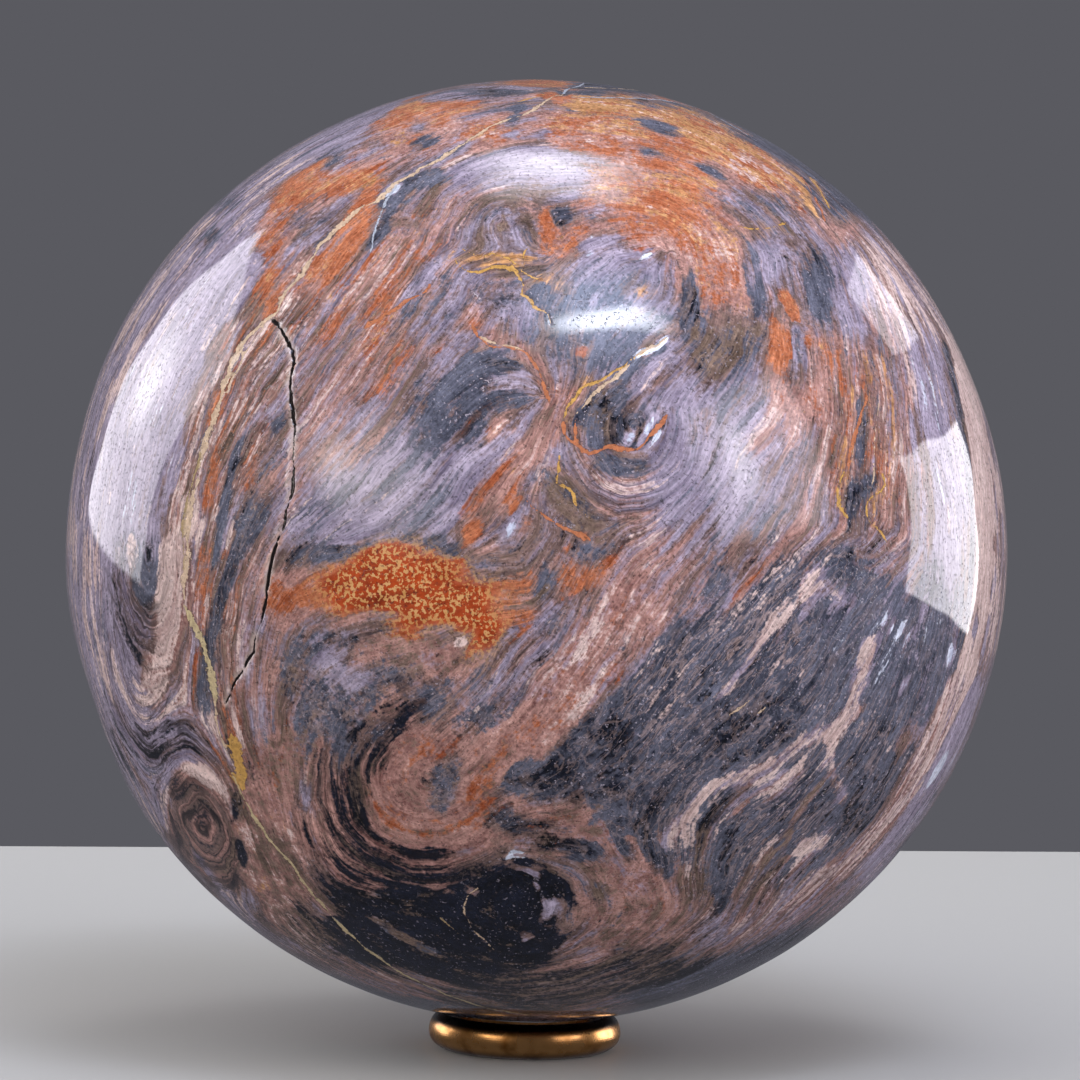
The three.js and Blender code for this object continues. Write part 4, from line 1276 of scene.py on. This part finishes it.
def polishedQuartz():
    # Fibrous quartz rock, ground and polished on a lapidary wheel: the fibres give drawn-out silky bands and
    # folds inside the stone, and the glassy polish lies over them as a clear coat that mirrors the lamps
    # sharply.
    material, tree = newMaterial("polishedFibrousQuartz")
    values = stoneValues
    place = addNode(tree, "TexCoord", {}).outputs["Object"]
    amounts = readMinerals(tree)
    patterns = fibrePatterns(tree, place, amounts["grain"])
    grit = addNode(tree, "TexNoise", {
        "Vector": place, "Scale": 1 / (values["grit"] * mm), "Detail": 2.0, "Roughness": 0.55})
    grit = list(addNode(tree, "SeparateColor", {"Color": grit.outputs["Color"]}).outputs)
    share = values["tone"]
    tones = [addNode(tree, "Clamp", {0: addUp(tree, share["start"], [
        (patterns["middle"][(i + 1) % 3], share["middle"]), (patterns["broad"][(i + 2) % 3], share["broad"]),
        (patterns["fine"][i], share["fine"]), (grit[i], share["grit"])])}) for i in range(3)]
    colour = mineralColour(tree, amounts, patterns, grit, tones)

    # every mineral is finely mottled
    mottling = addNode(tree, "Math", {0: patterns["fine"][0], 1: grit[1]}, operation="ADD")
    low, high, darkest, brightest = values["mottling"]
    shade = addNode(tree, "MapRange", {
        "Value": mottling, "From Min": low, "From Max": high, "To Min": darkest, "To Max": brightest})
    colour = addNode(tree, "VectorMath", {0: colour, "Scale": shade}, operation="SCALE")

    # thin growth lines that run with the fibres, dark in the pale rock and pale in the dark rock
    low, high, most = values["lineBand"]
    for pattern in (patterns["middle"][1], patterns["broad"][2]):
        offset = addNode(tree, "Math", {0: pattern, 1: 0.5}, operation="SUBTRACT")
        gap = addNode(tree, "Math", {0: offset}, operation="ABSOLUTE")
        for way, tint in ((1.0, values["lineColour"]), (-1.0, values["threadColour"])):
            colour = layOver(tree, colour, linear(tint), gap, (low, high, most * way), shade, amounts["line"])

    # pale specks in the slate, and the rust breccia with its net of gold
    net = addNode(tree, "TexNoise", {"Vector": place, "Scale": 1 / (values["net"] * mm), "Detail": 2.0})
    speck = addNode(tree, "SeparateColor", {"Color": net.outputs["Color"]}).outputs[1]
    tint = linear(values["speckColour"])
    colour = layOver(tree, colour, tint, speck, values["speckBand"], amounts["slate"])
    low, high, most = values["brecciaBand"]
    deep = addNode(tree, "MapRange", {
        "Value": amounts["fleck"], "From Min": low, "From Max": high, "To Max": most})
    dark, light = values["brecciaTones"]
    deepTone = addNode(tree, "Mix", {0: tones[2], 6: linear(dark), 7: linear(light)}, data_type="RGBA")
    colour = addNode(tree, "Mix", {0: deep, 6: colour, 7: deepTone}, data_type="RGBA")
    dark, light = values["fleckTones"]
    netTone = addNode(tree, "Mix", {
        0: patterns["middle"][0], 6: linear(dark), 7: linear(light)}, data_type="RGBA")
    colour = layOver(tree, colour, netTone, net, values["netBand"], amounts["fleck"])

    # veins, dark along their edges
    vein = addNode(tree, "Attribute", {}, attribute_name="vein").outputs["Fac"]
    frayed = addUp(tree, vein, [(net, values["netFray"]), (grit[1], values["gritFray"])])
    colour = layOver(tree, colour, linear(values["veinEdgeColour"]), frayed, values["veinEdgeBand"])
    veinTint = addNode(tree, "Attribute", {}, attribute_name="veinTint").outputs["Color"]
    low, high, darkest, brightest = values["veinMottling"]
    veinShade = addNode(tree, "MapRange", {
        "Value": grit[2], "From Min": low, "From Max": high, "To Min": darkest, "To Max": brightest})
    veinColour = addNode(tree, "VectorMath", {0: veinTint, "Scale": veinShade}, operation="SCALE")
    colour = layOver(tree, colour, veinColour, frayed, values["veinBand"])

    # the open crack and its paler rims, and the pits that the wheel left, with painted shade darkening their
    # colour
    rim = addNode(tree, "Attribute", {}, attribute_name="rim").outputs["Fac"]
    rimCover = addNode(tree, "Math", {0: rim, 1: values["rimCover"]}, operation="MULTIPLY")
    colour = addNode(tree, "Mix", {0: rimCover, 6: colour, 7: linear(values["rimColour"])}, data_type="RGBA")
    crack = addNode(tree, "Attribute", {}, attribute_name="crack").outputs["Fac"]
    colour = layOver(tree, colour, linear(values["crackAndPitShadeColour"]), crack, values["crackBand"])
    pits = addNode(tree, "TexNoise", {"Vector": place, "Scale": 1 / (values["pit"] * mm), "Detail": 1.0})
    # painted shade: the pits' colour is darkened so that they show dark, as where they break the lamps'
    # reflections
    colour = layOver(tree, colour, linear(values["crackAndPitShadeColour"]), pits, values["pitBand"])
    height = addNode(tree, "MapRange", {
        "Value": pits, "From Min": values["pitBand"][0], "From Max": values["pitBand"][1], "To Min": 1.0,
        "To Max": 0.0}, interpolation_type="SMOOTHSTEP")
    surface = addNode(tree, "Bump", {"Height": height, "Strength": 0.8, "Distance": values["pitDepth"] * mm})
    shader = addNode(tree, "BsdfPrincipled", {
        "Base Color": colour, "Roughness": 0.45, "IOR": 1.54, "Specular IOR Level": 0.0, "Coat Weight": 1.0,
        "Coat Roughness": 0.03, "Coat IOR": 1.54, "Coat Normal": surface})
    addNode(tree, "OutputMaterial", {"Surface": shader})
    return material


stoneBall = shapeBall()
stoneBall.data.materials.append(polishedQuartz())
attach(stoneBall, "root")
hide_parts("sphere")

# The ring stand

ring = {  # millimetres
    "diameter": 30.7, "height": 5.7, "rimDiameter": 26.4, "bellyHeight": 2.7, "footDiameter": 24.4,
    "boreDiameter": 21, "boreChamfer": 0.5, "seatHeight": 4.2,
    "middle": 12.9, "tube": 2,  # the section's points are counted round a tube of this radius
    "around": 192, "section": 128, "arcPoints": 40,
    "smoothAngle": 35,
}


def ringSection():  # evenly stepped from the belly over the rim, down the bore and under the foot
    widest, foot, rim, bore = (
        ring[key] / 2 for key in ("diameter", "footDiameter", "rimDiameter", "boreDiameter"))
    belly = ring["bellyHeight"]
    shoulder = ring["height"] - belly
    turn = np.radians(np.linspace(0, 90, ring["arcPoints"]))
    upper = np.stack([rim + (widest - rim) * np.cos(turn), belly + shoulder * np.sin(turn)], 1)
    lower = np.stack([foot + (widest - foot) * np.cos(turn), belly - belly * np.sin(turn)], 1)[::-1]
    inside = [(bore, ring["seatHeight"]), (bore, ring["boreChamfer"]), (bore + ring["boreChamfer"], 0)]
    points = np.vstack([upper, inside, lower])
    lengths = np.concatenate([[0], np.cumsum(np.linalg.norm(np.diff(points, axis=0), axis=1))])
    steps = np.arange(ring["section"]) / ring["section"] * lengths[-1]
    return np.stack([np.interp(steps, lengths, points[:, k]) for k in range(2)], 1) * mm


def shapeRing():
    major = ring["middle"] * mm
    bpy.ops.object.select_all(action="DESELECT")
    bpy.ops.mesh.primitive_torus_add(
        major_segments=ring["around"], minor_segments=ring["section"], major_radius=major,
        minor_radius=ring["tube"] * mm, location=(0, 0, 0))
    piece = bpy.context.object
    piece.name = "ringStand"
    places = readAll(piece.data.vertices, "co", 3)
    out = np.hypot(places[:, 0], places[:, 1])
    turn = np.arctan2(places[:, 2], out - major) / (2 * math.pi) % 1
    section = ringSection()[np.rint(turn * ring["section"]).astype(int) % ring["section"]]
    places[:, :2] *= (section[:, 0] / out)[:, None]
    places[:, 2] = section[:, 1]
    setPlaces(piece.data, places)
    editAll(bpy.ops.mesh.normals_make_consistent, inside=False)
    bpy.ops.object.shade_smooth_by_angle(angle=math.radians(ring["smoothAngle"]))
    return piece


brassValues = {
    "bright": "#d8a062", "dull": "#96632d", "paintedShade": "#160b05",
    "tarnish": 3.5, "turning": 0.16, "turningDepth": 0.03,  # mm
    "tarnishBand": (0.42, 0.72),
    "stoneShadeFrom": 3.9, "stoneShadeTo": 4.95,  # heights between which painted shade darkens the metal towards the stone, for the stone's shadow and its dark underside mirrored in the metal, mm
    "groundShadeFrom": 1.7, "groundShadeTo": 0.4, "groundShadeCover": 0.75,  # and painted shade towards the ground
    "brightRoughness": 0.24, "dullRoughness": 0.38,
}


def turnedBrass():
    # Cast brass turned on a lathe and left with a satin polish: fine rings round the axis stretch the
    # highlights, and handling has dulled it in soft brown patches. Against the stone and towards the ground
    # its colour is darkened with painted shade, for the stone's shadow and dark underside mirrored in the
    # metal, and for the shade near the ground.
    material, tree = newMaterial("turnedBrass")
    values = brassValues
    place = addNode(tree, "TexCoord", {}).outputs["Object"]
    x, y, z = addNode(tree, "SeparateXYZ", {0: place}).outputs
    out = addNode(tree, "VectorMath", {0: addNode(tree, "CombineXYZ", {0: x, 1: y})}, operation="LENGTH")
    section = addNode(tree, "CombineXYZ", {0: out, 2: z})
    lines = addNode(tree, "TexNoise", {
        "Vector": section, "Scale": 1 / (values["turning"] * mm), "Detail": 2.0})
    dulled = addNode(tree, "TexNoise", {
        "Vector": place, "Scale": 1 / (values["tarnish"] * mm), "Detail": 3.0})
    cover, top, foot = (
        addNode(tree, "MapRange", {"Value": value, "From Min": low, "From Max": high, "To Max": most},
                interpolation_type="SMOOTHSTEP")
        for value, low, high, most in (
            (dulled, *values["tarnishBand"], 1.0),
            (z, values["stoneShadeFrom"] * mm, values["stoneShadeTo"] * mm, 1.0),
            (z, values["groundShadeFrom"] * mm, values["groundShadeTo"] * mm, values["groundShadeCover"])))
    colour = addNode(tree, "Mix", {
        0: cover, 6: linear(values["bright"]), 7: linear(values["dull"])}, data_type="RGBA")
    # painted shade: darker against the stone, for its shadow and its dark underside mirrored in the metal,
    # and darker towards the ground
    dark = addNode(tree, "Math", {0: top, 1: foot}, operation="MAXIMUM")
    colour = addNode(tree, "Mix", {0: dark, 6: colour, 7: linear(values["paintedShade"])}, data_type="RGBA")
    roughness = addNode(tree, "MapRange", {
        "Value": cover, "To Min": values["brightRoughness"], "To Max": values["dullRoughness"]})
    surface = addNode(tree, "Bump", {
        "Height": lines, "Strength": 0.3, "Distance": values["turningDepth"] * mm})
    shader = addNode(tree, "BsdfPrincipled", {
        "Base Color": colour, "Metallic": 1.0, "Roughness": roughness, "Normal": surface})
    addNode(tree, "OutputMaterial", {"Surface": shader})
    return material


ringStand = shapeRing()
ringStand.data.materials.append(turnedBrass())
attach(ringStand, "root")
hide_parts("ring")
print("ring shaped with", len(ringStand.data.polygons), "faces")
